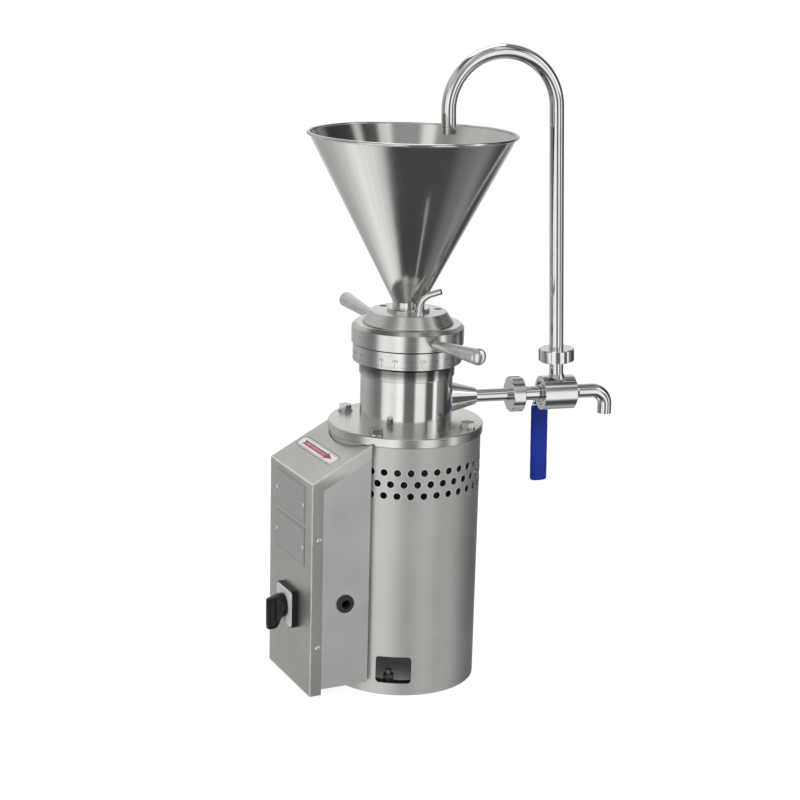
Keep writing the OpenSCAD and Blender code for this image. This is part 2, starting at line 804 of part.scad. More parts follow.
module stator_core() {
    color("gray") translate([0, 0, z_core]) difference() {
        cylinder(h = core_h, r = core_r);
        translate([0, 0, -1]) cylinder(h = core_h + 2, r = core_bore);
    }
}

module windings() {
    color("peru") for (z = [z_core - coil_h, z_core + core_h]) translate([0, 0, z]) difference() {
        cylinder(h = coil_h, r = core_r - 1);
        translate([0, 0, -1]) cylinder(h = coil_h + 2, r = core_bore + 1);
    }
}

module lower_shield() {
    color("slategray") rotate_extrude() polygon([
        [shaft_r - 1, z_lower], [frame_r, z_lower], [frame_r, z_frame], [bearing_r + 8, z_frame],
        [bearing_r + 8, z_bear_low + bearing_w + 2], [bearing_r, z_bear_low + bearing_w + 2],
        [bearing_r, z_bear_low], [shaft_r - 1, z_bear_low]]);
}

module bearings() {
    rib = bearing_w / 2;
    race = (bearing_r - bearing_bore) * 0.28;
    color("lightgray") for (z = [z_bear_top, z_bear_low]) translate([0, 0, z]) rotate_extrude() polygon([
        [bearing_bore, 0], [bearing_bore + race, 0], [bearing_bore + race, 1.5], [bearing_r - race, 1.5],
        [bearing_r - race, 0], [bearing_r, 0], [bearing_r, bearing_w], [bearing_r - race, bearing_w],
        [bearing_r - race, bearing_w - 1.5], [bearing_bore + race, bearing_w - 1.5],
        [bearing_bore + race, bearing_w], [bearing_bore, bearing_w]]);
}

module fan_cowl() {
    eye_r = bearing_r * 0.77;
    slot = bearing_r / 5;
    lip = z_lower + lower_t / 2;
    color("dimgray") difference() {
        rotate_extrude() polygon([
            [eye_r, z_cowl], [frame_r + cowl_t, z_cowl], [frame_r + cowl_t, lip], [frame_r, lip],
            [frame_r, z_cowl + cowl_t], [eye_r, z_cowl + cowl_t]]);
        for (i = [0:15]) rotate([0, 0, 22.5 * i]) translate([bearing_r, -slot / 2, z_cowl - 1])
            cube([frame_r - bearing_r - slot, slot, cowl_t + 2]);
    }
}

module shaft() {
    z_low_shoulder = z_bear_low + bearing_w + 1;
    color("silver") difference() {
        rotate_extrude() polygon([
            [0, z_fan - 4], [shaft_end_r, z_fan - 4], [shaft_end_r, z_bear_low + free_gap], [shaft_r,
                z_bear_low + free_gap],
            [shaft_r, z_low_shoulder], [core_shaft_r, z_low_shoulder], [core_shaft_r, z_bear_top - 1],
            [shaft_r, z_bear_top - 1], [shaft_r, z_hub], [rotor_seat_r, z_hub], [rotor_seat_r, z_rotor_top],
            [shaft_end_r, z_rotor_top], [shaft_end_r, z_rotor_top + 15], [0, z_rotor_top + 15]]);
        translate([rotor_seat_r - key_w / 2, -key_w / 2, z_hub + 14]) cube([key_w, key_w, key_len]);
    }
}

module rotor_key() {
    color("gray") translate([rotor_seat_r - key_w / 2, -key_w / 2, z_hub + 14]) cube([key_w, key_w,
        key_len]);
}

module motor_rotor() {
    color("gray") translate([0, 0, z_core]) difference() {
        cylinder(h = core_h, r = core_bore - 0.5);
        translate([0, 0, -1]) cylinder(h = core_h + 2, r = core_shaft_r);
    }
}

module fan() {
    color("darkslategray") translate([0, 0, z_fan]) difference() {
        union() {
            cylinder(h = fan_h, r = shaft_end_r + 10);
            translate([0, 0, fan_h - 2]) cylinder(h = 2, r = fan_r);
            for (i = [0:fan_blades - 1]) rotate([0, 0, 360 / fan_blades * i])
                translate([shaft_end_r + 8, -1.5, 0]) cube([fan_r - shaft_end_r - 9, 3, fan_h]);
        }
        translate([0, 0, -1]) cylinder(h = fan_h + 2, r = shaft_end_r);
    }
}

module seal_ring() {
    color("black") translate([0, 0, z_seal + play]) difference() {
        cylinder(h = 5, r = seat_r - 3);
        translate([0, 0, -1]) cylinder(h = 7, r = shaft_r);
    }
}

module seal_spring() {
    z0 = z_seal + play + 5;
    wire = 1.4;
    step = (z_hub - z0 - 2 * wire) / 3;
    color("silver") for (i = [0:3]) translate([0, 0, z0 + wire + step * i])
        rotate_extrude() translate([shaft_r + 2.4, 0]) circle(r = wire, $fn = 24);
}

module rotor() {
    color("gainsboro") difference() {
        rotate_extrude() polygon([
            [rotor_seat_r, z_hub], [shaft_r + 8, z_hub], [shaft_r + 8, z_cone - 26], [rotor_r - 6,
                z_cone - 20],
            [rotor_r, z_cone - 20], [rotor_r, z_cone], [rotor_top_r, z_rotor_top], [rotor_seat_r,
                z_rotor_top]]);
        translate([rotor_seat_r - key_w / 2, -key_w / 2, z_hub - 1]) cube([key_w, key_w, key_len + 15]);
        groove_set(groove_count, groove_w, groove_d, z_cone - 10, z_rotor_top + 12, 0, groove_slant);
        groove_set(groove_count, groove_w * 0.6, groove_d * 0.6, z_cone - 8, z_cone + rotor_h / 2,
            180 / groove_count, groove_slant);
    }
}

module rotor_cap() {
    z0 = z_rotor_top;
    color("gainsboro") difference() {
        union() {
            rotate_extrude() polygon([
                [0, z0], [throat_r - 1, z0], [throat_r - 1, z0 + 3], [throat_bore - 5, z0 + 8],
                [throat_bore - 6, z0 + 18], [throat_bore - 11, z0 + 23], [0, z0 + 24]]);
            for (i = [0, 1]) rotate([0, 0, 180 * i]) translate([throat_bore - 7, 0, z0 + 13])
                rotate([35, 0, 0]) cube([9, 2.5, 12], center = true);
        }
        translate([0, 0, z0 - 1]) cylinder(h = 16, r = shaft_end_r);
    }
}

module cover() {
    jacket_in = rotor_top_r + 5;
    jacket_out = stator_r - 3;
    color("lightgray") difference() {
        rotate_extrude() polygon([
            [inlet_bore, z_stator_top], [jacket_in, z_stator_top], [jacket_in, z_stator_top + 7],
            [jacket_out, z_stator_top + 7], [jacket_out, z_stator_top], [stator_r, z_stator_top],
            [stator_r, z_stator], [skirt_r, z_stator], [skirt_r, z_cover - pivot_h], [pivot_r,
                z_cover - pivot_h],
            [pivot_r, z_cover], [cover_r, z_cover], [cover_r, z_cover + cover_lip], [cover_top_r,
                z_cover_top],
            [inlet_bore, z_cover_top]]);
        for (a = [-9, 118]) rotate([0, 0, a]) translate([spanner_r, 0, z_cover_top - 5])
            cylinder(h = 6, d = spanner_d);
        rotate([0, 0, -92]) translate([nipple_at, 0, z_stator_top + 3]) cylinder(h = cover_t, r = nipple_r);
        translate([0, 0, z_stator + 7]) difference() {
            cylinder(h = 4, r = skirt_r + 1);
            translate([0, 0, -1]) cylinder(h = 6, r = skirt_r - 3);
        }
        for (i = [0, 1]) rotate([0, 0, 45 + 180 * i]) translate([pin_at, 0, z_cover - pivot_h - 1])
            cylinder(h = neck_wall + 1, r = pin_r);
    }
}

module stator() {
    gap_r = grind_gap;
    color("gainsboro") difference() {
        rotate_extrude() polygon([
            [cone_at(z_stator) + gap_r, z_stator], [stator_r, z_stator], [stator_r, z_stator_top],
            [cone_at(z_stator_top) + gap_r, z_stator_top]]);
        groove_set(groove_count, groove_w, groove_d, z_stator - 8, z_stator_top + 8, 90 / groove_count,
            -groove_slant);
        groove_set(groove_count, groove_w * 0.6, groove_d * 0.6, z_stator - 8, z_stator + stator_h / 2,
            270 / groove_count, -groove_slant);
    }
}

module cover_oring() {
    ring = (3 - free_gap) / 2;
    color("black") translate([0, 0, z_stator + 9]) rotate_extrude()
        translate([skirt_r - 3 + ring, 0]) circle(r = ring, $fn = 24);
}

module guide_pins() {
    color("silver") for (i = [0, 1]) rotate([0, 0, 45 + 180 * i]) translate([pin_at, 0,
        z_body_top - 2 * neck_wall])
        cylinder(h = z_cover - pivot_h - z_body_top + 3 * neck_wall, r = pin_r);
}

module hopper_neck() {
    color("silver") rotate_extrude() polygon([
        [throat_bore, z_cover_top - 9.5], [inlet_bore, z_cover_top - 9.5], [inlet_bore, z_cover_top],
        [neck_flange_r, z_cover_top], [neck_flange_r, z_flange - 1.5], [neck_flange_r - 1.5, z_flange],
        [throat_r, z_flange], [throat_r, z_throat], [throat_bore, z_throat]]);
}

module hopper() {
    wall = hopper_t / cos(atan((rim_r - throat_r) / cone_h));
    color("silver") {
        rotate_extrude() polygon([
            [throat_r - wall, z_throat], [throat_r, z_throat], [rim_r, z_rim], [rim_r - wall, z_rim]]);
        translate([0, 0, z_rim]) rotate_extrude() translate([rim_r, 0]) circle(r = bead_r, $fn = 24);
    }
}

// Frame at the end of the nipple's bend: x along its straight end, bend centre at the origin
module on_nipple_bend() {
    translate([nipple_bend, 0, nipple_rise]) rotate([0, -nipple_tilt, 0]) children();
}

// Bend and straight end of the nipple, of radius r
module nipple_bend_run(r, extra) {
    on_nipple_bend() {
        rotate([90, 0, 0]) rotate([0, 0, 90]) rotate_extrude(angle = 90 - nipple_tilt)
            translate([nipple_bend, 0]) circle(r = r);
        translate([0, 0, nipple_bend]) rotate([0, 90, 0]) cylinder(h = nipple_end + extra, r = r);
    }
}

module coolant_nipple() {
    low = cover_t - 3;
    color("silver") rotate([0, 0, -92]) translate([nipple_at, 0, z_cover_top]) rotate([0, 0,
        nipple_turn + 92]) difference() {
        union() {
            translate([0, 0, -low]) cylinder(h = low + nipple_rise, r = nipple_r);
            cylinder(h = nipple_rise * 0.6, r1 = nipple_r + 1.8, r2 = nipple_r + 1.3);
            nipple_bend_run(nipple_r, 0);
        }
        translate([0, 0, -low - 1]) cylinder(h = low + nipple_rise + 2, r = nipple_bore - 0.1);
        nipple_bend_run(nipple_bore, 1);
    }
}

module dial_ring() {
    low_r = dial_r - dial_step;
    color("silver") rotate_extrude() polygon([
        [dial_bore, z_dial], [low_r - 1.2, z_dial], [low_r, z_dial + 1.2], [low_r, z_split - 1],
        [low_r - 1, z_split], [dial_bore, z_split]]);
}

module handle_ring() {
    color("silver") difference() {
        rotate_extrude() polygon([
            [pivot_bore, z_split], [dial_r - 1, z_split], [dial_r, z_split + 1], [dial_r,
                z_dial_top - dial_chamfer],
            [dial_r - dial_chamfer, z_dial_top], [cover_r + seam_w, z_dial_top],
            [cover_r + seam_w, z_dial_top - seam_d], [pivot_bore, z_dial_top - seam_d]]);
        for (i = [0, 1]) on_handle(i) bar_x(-11, 5, stud_r);
    }
}

module handle_studs() {
    color("silver") for (i = [0, 1]) on_handle(i) bar_x(-11, 16, stud_r);
}

module handle_grips() {
    color("silver") for (i = [0, 1]) on_handle(i) difference() {
        union() {
            bar_x(3, 3 + grip_len - 2, grip_r0, grip_r1);
            bar_x(1 + grip_len, 3 + grip_len, grip_r1, grip_r1 - 1.6);
        }
        bar_x(2, 16, stud_r);
    }
}

module valve_ball() {
    color("silver") on_outlet() translate([valve_x, 0, 0]) difference() {
        sphere(r = ball_r);
        bar_x(-ball_r - 1, ball_r + 1, tube_bore - 0.5);
        cylinder(h = ball_r + 1, r = tube_bore - 0.5);
        bar_y(stem_in, ball_r + 1, stem_r);
    }
}

module valve_stem() {
    color("silver") on_outlet() translate([valve_x, 0, 0]) {
        bar_y(stem_in, stem_shoulder + lever_t + 9, stem_r);
        bar_y(gland_y + bonnet_hex + 1, stem_shoulder, stem_r + 2);
    }
}

// Frame of the hanging lever: y along the stem, z up the lever
module on_lever() {
    on_outlet() translate([valve_x, 0, 0]) rotate([0, -lever_lean, 0]) children();
}

module lever() {
    y0 = stem_shoulder;
    y1 = lever_y - lever_t / 2;
    z0 = lever_w * 0.6;
    z1 = sleeve_low - 2;
    k = lever_t / 2 * tan(atan2(y1 - y0, z1 - z0) / 2);
    color("silver") on_lever() difference() {
        union() {
            bar_y(y0, y0 + lever_t, lever_w * 0.6);
            rotate([90, 0, 90]) linear_extrude(lever_w, center = true) polygon([
                [y0, 0], [y0 + lever_t, 0], [y0 + lever_t, k - z0], [y1 + lever_t, k - z1],
                [y1 + lever_t, -lever_len], [y1, -lever_len], [y1, -k - z1], [y0, -k - z0]]);
        }
        bar_y(y0 - 1, y0 + lever_t + 1, stem_r);
    }
}

module lever_sleeve() {
    edge = (sleeve_w - sleeve_t) / 2;
    color("royalblue") on_lever() translate([0, lever_y, -sleeve_low]) mirror([0, 0, 1]) difference() {
        union() {
            translate([-edge, -sleeve_t / 2, 0]) cube([2 * edge, sleeve_t, sleeve_len]);
            for (x = [-1, 1]) translate([x * edge, 0, 0]) cylinder(h = sleeve_len, d = sleeve_t);
        }
        translate([-lever_w / 2, -lever_t / 2, -1]) cube([lever_w, lever_t, sleeve_len - 4 + 1]);
    }
}

module lever_nut() {
    color("silver") on_lever() translate([0, stem_shoulder + lever_t, 0]) rotate([-90, 0, 0]) difference() {
        cylinder(h = 6, r = stem_r * 1.85, $fn = 6);
        translate([0, 0, -1]) cylinder(h = 8, r = stem_r);
    }
}

// Room for the drum and the head plate behind the box
module drum_room(gap) {
    cylinder(h = drum_h, r = drum_r + gap);
    translate([0, 0, drum_h - 0.5]) cylinder(h = through, r = plate_clear);
}

// Room past the side panels' edges
module past_panels() {
    translate([-x_end, -box_w, 0]) cube([box_front, 2 * box_w, through]);
}

module box_shell() {
    color("silver") difference() {
        box_prism(cover_sheet, panel_z, panel_y);
        translate([-box_front - 10, -panel_y + panel_t, panel_z + panel_t])
            cube([box_front + 10 - x_end - panel_t, 2 * (panel_y - panel_t), through]);
        translate([-x_end - panel_t - 1, -lip_in, panel_z + panel_t]) cube([box_front, 2 * lip_in,
            through]);
        past_panels();
        drum_room(0);
        for (z = [screw_z0, screw_z1]) translate([screw_x, 0, z]) bar_y(-half_w - 1, half_w + 1, 2);
        translate([inlet_x - box_front, 0, inlet_z]) bar_y(-half_w, -half_w + 10, inlet_r + 3);
    }
}

module box_cover() {
    color("silver") difference() {
        union() {
            difference() {
                box_prism(0, box_z, half_w);
                box_prism(cover_sheet, box_z - 1, panel_y);
                box_prism(strip_w, box_z - 1, half_w + 1);
            }
            translate([-box_front, -half_w, box_z]) cube([strip_w, box_w, cover_sheet]);
        }
        past_panels();
        drum_room(plate_gap / 2);
        for (z = [screw_z0, screw_z1]) translate([screw_x, 0, z]) bar_y(-half_w - 1, half_w + 1, 2);
        for (z = [name_z0, name_z1], y = [-1, 1]) on_front(z) translate([0, y * (name_w / 2 - 3.5),
            -5]) cylinder(h = 10, r = 1.6);
        on_front(switch_z) translate([0, 0, -5]) cylinder(h = 10, r = 6);
    }
}

module cover_screws() {
    color("silver") for (z = [screw_z0, screw_z1], s = [0, 1]) translate([screw_x, 0, z]) mirror([0, s,
        0]) {
        bar_y(half_w, half_w + 2, 3.6);
        bar_y(half_w - 5, half_w, 2);
    }
}

module name_plates() {
    color("gainsboro") for (z = [name_z0, name_z1]) on_front(z) difference() {
        translate([-name_h / 2, -name_w / 2, 0]) cube([name_h, name_w, 0.8]);
        for (y = [-1, 1]) translate([0, y * (name_w / 2 - 3.5), -1]) cylinder(h = 3, r = 1.6);
    }
}

module rivets() {
    color("silver") for (z = [name_z0, name_z1], y = [-1, 1]) on_front(z) translate([0,
        y * (name_w / 2 - 3.5), 0]) {
        translate([0, 0, 0.8]) cylinder(h = 1, r1 = 2.6, r2 = 1.8);
        translate([0, 0, -cover_sheet - 1]) cylinder(h = cover_sheet + 1.8, r = 1.6);
    }
}

module arrow_plate() {
    corner = arrow_h * 0.3;
    color("white") on_slope() translate([arrow_up, arrow_side, 0]) {
        translate([-arrow_h / 2 + corner, -arrow_w / 2, 0]) cube([arrow_h - 2 * corner, arrow_w, label_t]);
        translate([-arrow_h / 2, -arrow_w / 2 + corner, 0]) cube([arrow_h, arrow_w - 2 * corner, label_t]);
        for (x = [-1, 1], y = [-1, 1]) translate([x * (arrow_h / 2 - corner),
            y * (arrow_w / 2 - corner), 0])
            cylinder(h = label_t, r = corner, $fn = 32);
    }
}

module switch_base() {
    color("black") on_front(switch_z) difference() {
        translate([-switch_w / 2 + 1, -switch_w / 2, 0]) cube([switch_w - 2, switch_w, switch_d]);
        translate([0, 0, -1]) cylinder(h = switch_d + 2, r = 6);
    }
}

module switch_plate() {
    color("gainsboro") on_front(switch_z) translate([0, 0, switch_d]) difference() {
        translate([-switch_w / 2 + 2, -switch_w / 2 + 1, 0]) cube([switch_w - 4, switch_w - 2, 1]);
        translate([0, 0, -1]) cylinder(h = 3, r = 4 + play);
    }
}

module switch_block() {
    color("black") on_front(switch_z) translate([0, 0, -cover_sheet - 40]) difference() {
        translate([-22, -22, 0]) cube([44, 44, 40]);
        translate([0, 0, 28]) cylinder(h = 13, r = 4 + free_gap);
    }
}

module switch_knob() {
    blade = knob_r * 2.4;
    color("black") on_front(switch_z) {
        translate([0, 0, -cover_sheet - 9]) cylinder(h = switch_d + cover_sheet + 12, r = 4);
        translate([0, 0, switch_d + 1 + free_gap]) {
            cylinder(h = knob_d * 0.45, r1 = knob_r, r2 = knob_r - 1);
            translate([0, 0, knob_d * 0.35]) linear_extrude(knob_d * 0.65)
                polygon([[knob_r, -4], [knob_r + 2, 0], [knob_r, 4], [0, 6.5], [-blade, 5], [-blade,
                    -5], [0, -6.5]]);
        }
    }
}

module grommet() {
    r = inlet_r;
    color("black") translate([inlet_x - box_front, -panel_y, inlet_z]) rotate([90, 0, 0])
        rotate_extrude() polygon([
        [r, -panel_t - 2.5], [r + 5, -panel_t - 2.5], [r + 5, -panel_t], [r + 3, -panel_t], [r + 3, 0],
        [r + 6, 0], [r + 6, 2], [r + 4, 3.5], [r, 3.5]]);
}

drum();
base_ring();
earth_stud();
top_ring();
plate();
plate_washers();
plate_bolts();
mill_body();
outlet_pipe();
pipe_nut();
valve_body();
valve_seats();
valve_bonnet();
tube_nut();
return_tube();
spout();
seal_seat();
motor_flange();
flange_bolts();
motor_frame();
stator_core();
windings();
lower_shield();
bearings();
fan_cowl();
shaft();
rotor_key();
motor_rotor();
fan();
seal_ring();
seal_spring();
rotor();
rotor_cap();
cover();
stator();
cover_oring();
guide_pins();
hopper_neck();
hopper();
coolant_nipple();
dial_ring();
handle_ring();
handle_studs();
handle_grips();
valve_ball();
valve_stem();
lever();
lever_sleeve();
lever_nut();
box_shell();
box_cover();
cover_screws();
name_plates();
rivets();
arrow_plate();
switch_base();
switch_plate();
switch_block();
switch_knob();
grommet();
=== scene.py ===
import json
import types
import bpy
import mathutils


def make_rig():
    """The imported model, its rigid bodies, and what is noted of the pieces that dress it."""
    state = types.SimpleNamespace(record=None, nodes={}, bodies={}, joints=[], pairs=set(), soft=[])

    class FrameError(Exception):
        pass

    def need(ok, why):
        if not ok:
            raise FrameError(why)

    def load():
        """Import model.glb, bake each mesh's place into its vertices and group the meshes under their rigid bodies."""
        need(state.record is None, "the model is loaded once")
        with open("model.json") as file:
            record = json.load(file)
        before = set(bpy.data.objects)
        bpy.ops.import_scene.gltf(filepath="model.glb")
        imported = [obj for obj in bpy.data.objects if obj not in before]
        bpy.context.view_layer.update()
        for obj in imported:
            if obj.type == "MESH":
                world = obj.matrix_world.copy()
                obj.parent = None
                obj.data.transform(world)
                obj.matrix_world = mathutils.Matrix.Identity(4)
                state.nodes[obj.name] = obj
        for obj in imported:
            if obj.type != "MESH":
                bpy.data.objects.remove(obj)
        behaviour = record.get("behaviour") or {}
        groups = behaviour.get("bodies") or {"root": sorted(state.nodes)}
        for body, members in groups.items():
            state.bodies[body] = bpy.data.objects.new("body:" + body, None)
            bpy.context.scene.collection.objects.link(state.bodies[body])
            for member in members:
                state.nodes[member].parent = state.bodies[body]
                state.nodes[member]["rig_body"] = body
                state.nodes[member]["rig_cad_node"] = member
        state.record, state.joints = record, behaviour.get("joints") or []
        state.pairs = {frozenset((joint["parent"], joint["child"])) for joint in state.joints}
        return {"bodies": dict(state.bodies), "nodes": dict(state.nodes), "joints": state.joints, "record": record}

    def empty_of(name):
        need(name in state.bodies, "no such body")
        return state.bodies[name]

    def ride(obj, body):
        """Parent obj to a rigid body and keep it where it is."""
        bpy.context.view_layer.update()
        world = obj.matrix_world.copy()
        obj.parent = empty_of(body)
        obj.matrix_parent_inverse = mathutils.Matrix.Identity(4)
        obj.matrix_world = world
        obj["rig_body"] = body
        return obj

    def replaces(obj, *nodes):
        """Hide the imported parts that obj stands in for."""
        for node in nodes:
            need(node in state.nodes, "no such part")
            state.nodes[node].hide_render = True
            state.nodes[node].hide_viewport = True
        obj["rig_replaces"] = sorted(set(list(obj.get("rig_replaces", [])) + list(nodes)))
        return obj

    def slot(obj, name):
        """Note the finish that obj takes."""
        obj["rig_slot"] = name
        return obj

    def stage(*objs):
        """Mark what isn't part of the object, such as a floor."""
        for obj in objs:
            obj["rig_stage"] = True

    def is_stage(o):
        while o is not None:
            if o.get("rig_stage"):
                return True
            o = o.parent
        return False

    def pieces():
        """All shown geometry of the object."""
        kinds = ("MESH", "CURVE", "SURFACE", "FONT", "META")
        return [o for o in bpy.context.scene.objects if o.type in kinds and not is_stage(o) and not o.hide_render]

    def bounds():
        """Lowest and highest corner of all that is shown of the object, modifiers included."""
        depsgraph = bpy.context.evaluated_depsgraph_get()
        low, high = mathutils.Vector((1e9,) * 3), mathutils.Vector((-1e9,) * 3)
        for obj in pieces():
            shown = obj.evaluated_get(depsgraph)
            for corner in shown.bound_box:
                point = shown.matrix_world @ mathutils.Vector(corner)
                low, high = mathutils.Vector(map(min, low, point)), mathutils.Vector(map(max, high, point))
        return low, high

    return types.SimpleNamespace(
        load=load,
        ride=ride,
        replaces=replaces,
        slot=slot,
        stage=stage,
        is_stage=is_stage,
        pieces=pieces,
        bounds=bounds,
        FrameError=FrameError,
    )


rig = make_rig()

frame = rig.load()

import json
import math

import bpy
from mathutils import Matrix, Vector

cad_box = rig.bounds()
scene = bpy.context.scene
scene.view_settings.view_transform = "Standard"

MM = 0.001
WHITE = (1, 1, 1, 1)

# Sizes of the solids that the pieces below sit on, in millimetres
Z_OUT = 378.0
OUTLET_TURN = math.radians(-10)
VALVE_X = 211.0
LEVER_Y = 64.0
LEVER_LEAN = math.radians(1.5)
SLEEVE_TOP, SLEEVE_LOW = -34.0, -144.0
DIAL_R, DIAL_LOW_R = 73.8, 71.8
Z_DIAL = 431.6
HANDLE_Z = 466.646
HANDLE_TURN = math.radians(-88.9)
HANDLE_TILT = math.radians(4.6)
GRIP_END = 118.0
BOX_FRONT = 162.7
BOX_H = 297.2
BOX_SLOPE = math.radians(27.9)
HALF_W = 70.25
LABEL_UP, LABEL_SIDE = 44.8, 5.5
LABEL_T = 0.6
NAME_Z = (206.5, 263.5)
NAME_W, NAME_H, NAME_T = 94.0, 51.0, 0.8
SCREW_X = -152.3
SCREW_Z = (76.0, 222.0)
SWITCH_Z = 114.0
DRUM_R, DRUM_H = 100.0, 338.0
VENT_R, VENT_PITCH, VENT_DROP, VENT_LAST = 4.7, 15.4, 33.2, 141.5

# Heights of two bands of painted light, in metres: a painted highlight on the box's upper flange, and painted shade on
# the collar in the dial's shade
FLANGE_TOP_HIGHLIGHT = (0.292, 0.312)
COLLAR_SHADE = (0.411, 0.426)


# Camera, fitted to the photograph
camera_data = bpy.data.cameras.new("camera")
camera_data.sensor_width = 36
camera_data.lens = 81.9747
camera_data.clip_end = 50
camera = bpy.data.objects.new("camera", camera_data)
scene.collection.objects.link(camera)
right = Vector((0.900584, -0.433949, 0.025243))
up = Vector((0.086233, 0.235277, 0.968095))
back = Vector((-0.426043, -0.869674, 0.249308))
camera.matrix_world = Matrix((
    (right.x, up.x, back.x, -1.031259),
    (right.y, up.y, back.y, -2.087270),
    (right.z, up.z, back.z, 0.975502),
    (0, 0, 0, 1),
))
scene.camera = camera


# Node helpers
class Tree:
    """A node tree with short calls for adding and linking nodes."""

    def __init__(self, tree):
        self.tree = tree
        tree.nodes.clear()

    def add(self, kind, sockets=None, **values):
        """A node with its own settings, and constants on its input sockets."""
        node = self.tree.nodes.new(kind)
        for key, value in values.items():
            setattr(node, key, value)
        for key, value in (sockets or {}).items():
            node.inputs[key].default_value = value
        return node

    def link(self, source, target):
        self.tree.links.new(source, target)

    def math(self, operation, a, b=None):
        node = self.add("ShaderNodeMath", operation=operation)
        for socket, value in zip(node.inputs, (a, b)):
            if value is None:
                continue
            if isinstance(value, (int, float)):
                socket.default_value = value
            else:
                self.link(value, socket)
        return node.outputs[0]

    def blend(self, a, share_a, b, share_b):
        """The sum of two values, each times its share."""
        return self.math("ADD", self.math("MULTIPLY", a, share_a), self.math("MULTIPLY", b, share_b))

    def smooth(self, value, start, end):
        """Rise softly from 0 at the start to 1 at the end."""
        node = self.add("ShaderNodeMapRange", {"From Min": start, "From Max": end}, interpolation_type="SMOOTHSTEP")
        self.link(value, node.inputs["Value"])
        return node.outputs[0]

    def ramp(self, fac, stops):
        """Colours, or greys, at places between 0 and 1."""
        node = self.add("ShaderNodeValToRGB")
        elements = node.color_ramp.elements
        while len(elements) > 1:
            elements.remove(elements[-1])
        for i, (place, colour) in enumerate(stops):
            element = elements[0] if i == 0 else elements.new(place)
            element.position = place
            if isinstance(colour, (int, float)):
                colour = (colour, colour, colour)
            element.color = (*colour, 1)
        self.link(fac, node.inputs["Fac"])
        return node.outputs["Color"]

    def mix(self, share, first, second):
        """The first colour where the share is 0 and the second where it is 1."""
        node = self.add("ShaderNodeMix", data_type="RGBA")
        self.link(share, node.inputs["Factor"])
        self.link(first, node.inputs[6])
        if isinstance(second, tuple):
            node.inputs[7].default_value = second
        else:
            self.link(second, node.inputs[7])
        return node.outputs[2]

    def mix_shaders(self, share, first, second):
        node = self.add("ShaderNodeMixShader")
        for source, socket in zip((share, first, second), node.inputs):
            self.link(source, socket)
        return node.outputs[0]

    def noise(self, vector, scale, detail=3.0, roughness=0.55):
        node = self.add("ShaderNodeTexNoise", {"Scale": scale, "Detail": detail, "Roughness": roughness})
        self.link(vector, node.inputs["Vector"])
        return node.outputs["Fac"]

    def parts(self, vector):
        """The three numbers of a vector."""
        split = self.add("ShaderNodeSeparateXYZ")
        self.link(vector, split.inputs[0])
        return split.outputs

    def place(self, scale=(1, 1, 1)):
        """Object coordinates in metres, scaled along each axis."""
        coords = self.add("ShaderNodeTexCoord")
        mapping = self.add("ShaderNodeMapping", {"Scale": scale})
        self.link(coords.outputs["Object"], mapping.inputs["Vector"])
        return mapping.outputs["Vector"]

    def lathe(self, around, radial, along):
        """Coordinates (angle, radius, height) about the mill's axis, each times its scale."""
        x, y, z = self.parts(self.place())
        angle = self.math("ARCTAN2", y, x)
        radius = self.math("SQRT", self.math("ADD", self.math("MULTIPLY", x, x), self.math("MULTIPLY", y, y)))
        joined = self.add("ShaderNodeCombineXYZ")
        for value, scale, socket in zip((angle, radius, z), (around, radial, along), joined.inputs):
            self.link(self.math("MULTIPLY", value, scale), socket)
        return joined.outputs[0]


class Material(Tree):
    """A principled material whose base values sit on the shader's own sockets."""

    def __init__(self, name, metallic=0.0, **sockets):
        self.material = bpy.data.materials.new(name)
        self.material.use_nodes = True
        super().__init__(self.material.node_tree)
        constants = {key.replace("_", " "): value for key, value in sockets.items()}
        self.shader = self.add("ShaderNodeBsdfPrincipled", {"Metallic": metallic, **constants})
        self.link(self.shader.outputs[0], self.add("ShaderNodeOutputMaterial").inputs["Surface"])

    def colour(self, fac, low, high, start=0.3, end=0.7, where=None, share=1.0):
        """Tint between two colours; where the mask is 1, both are darker by the given share, as painted shade."""
        tint = self.ramp(fac, [(start, low), (end, high)])
        if where is not None:
            dark_low, dark_high = ([c * share for c in colour] for colour in (low, high))
            tint = self.mix(where, tint, self.ramp(fac, [(start, dark_low), (end, dark_high)]))
        self.link(tint, self.shader.inputs["Base Color"])

    def rub(self, where, colour):
        """Lay a lighter tint over the base colour where the mask is 1, as a painted highlight."""
        socket = self.shader.inputs["Base Color"]
        self.link(self.mix(where, socket.links[0].from_socket, (*colour, 1)), socket)

    def rough(self, fac, low, high):
        self.link(self.ramp(fac, [(0.3, low), (0.7, high)]), self.shader.inputs["Roughness"])

    def bump(self, height, strength, distance):
        node = self.add("ShaderNodeBump", {"Strength": strength, "Distance": distance})
        self.link(height, node.inputs["Height"])
        self.link(node.outputs[0], self.shader.inputs["Normal"])

    def height(self):
        """Height above the piece's own origin."""
        return self.parts(self.place())[2]

    def facing(self, axis):
        """The part of the piece's own normal along one axis."""
        return self.parts(self.add("ShaderNodeTexCoord").outputs["Normal"])[axis]

    def box_edges(self, width):
        """A mask that is 1 along the box's folds: near two of its front, side and slope."""
        x, y, z = self.parts(self.place())
        front = self.math("ADD", x, BOX_FRONT * MM)
        side = self.math("SUBTRACT", HALF_W * MM, self.math("ABSOLUTE", y))
        above = self.math("SUBTRACT", z, BOX_H * MM)
        slope = self.math("SUBTRACT", self.math("MULTIPLY", front, math.sin(BOX_SLOPE)),
                          self.math("MULTIPLY", above, math.cos(BOX_SLOPE)))
        low, high = self.math("MINIMUM", front, side), self.math("MAXIMUM", front, side)
        second = self.math("MAXIMUM", low, self.math("MINIMUM", high, slope))
        uneven = self.math("MULTIPLY", self.noise(self.place(), 60.0), 2 * width)
        return self.math("LESS_THAN", second, uneven)


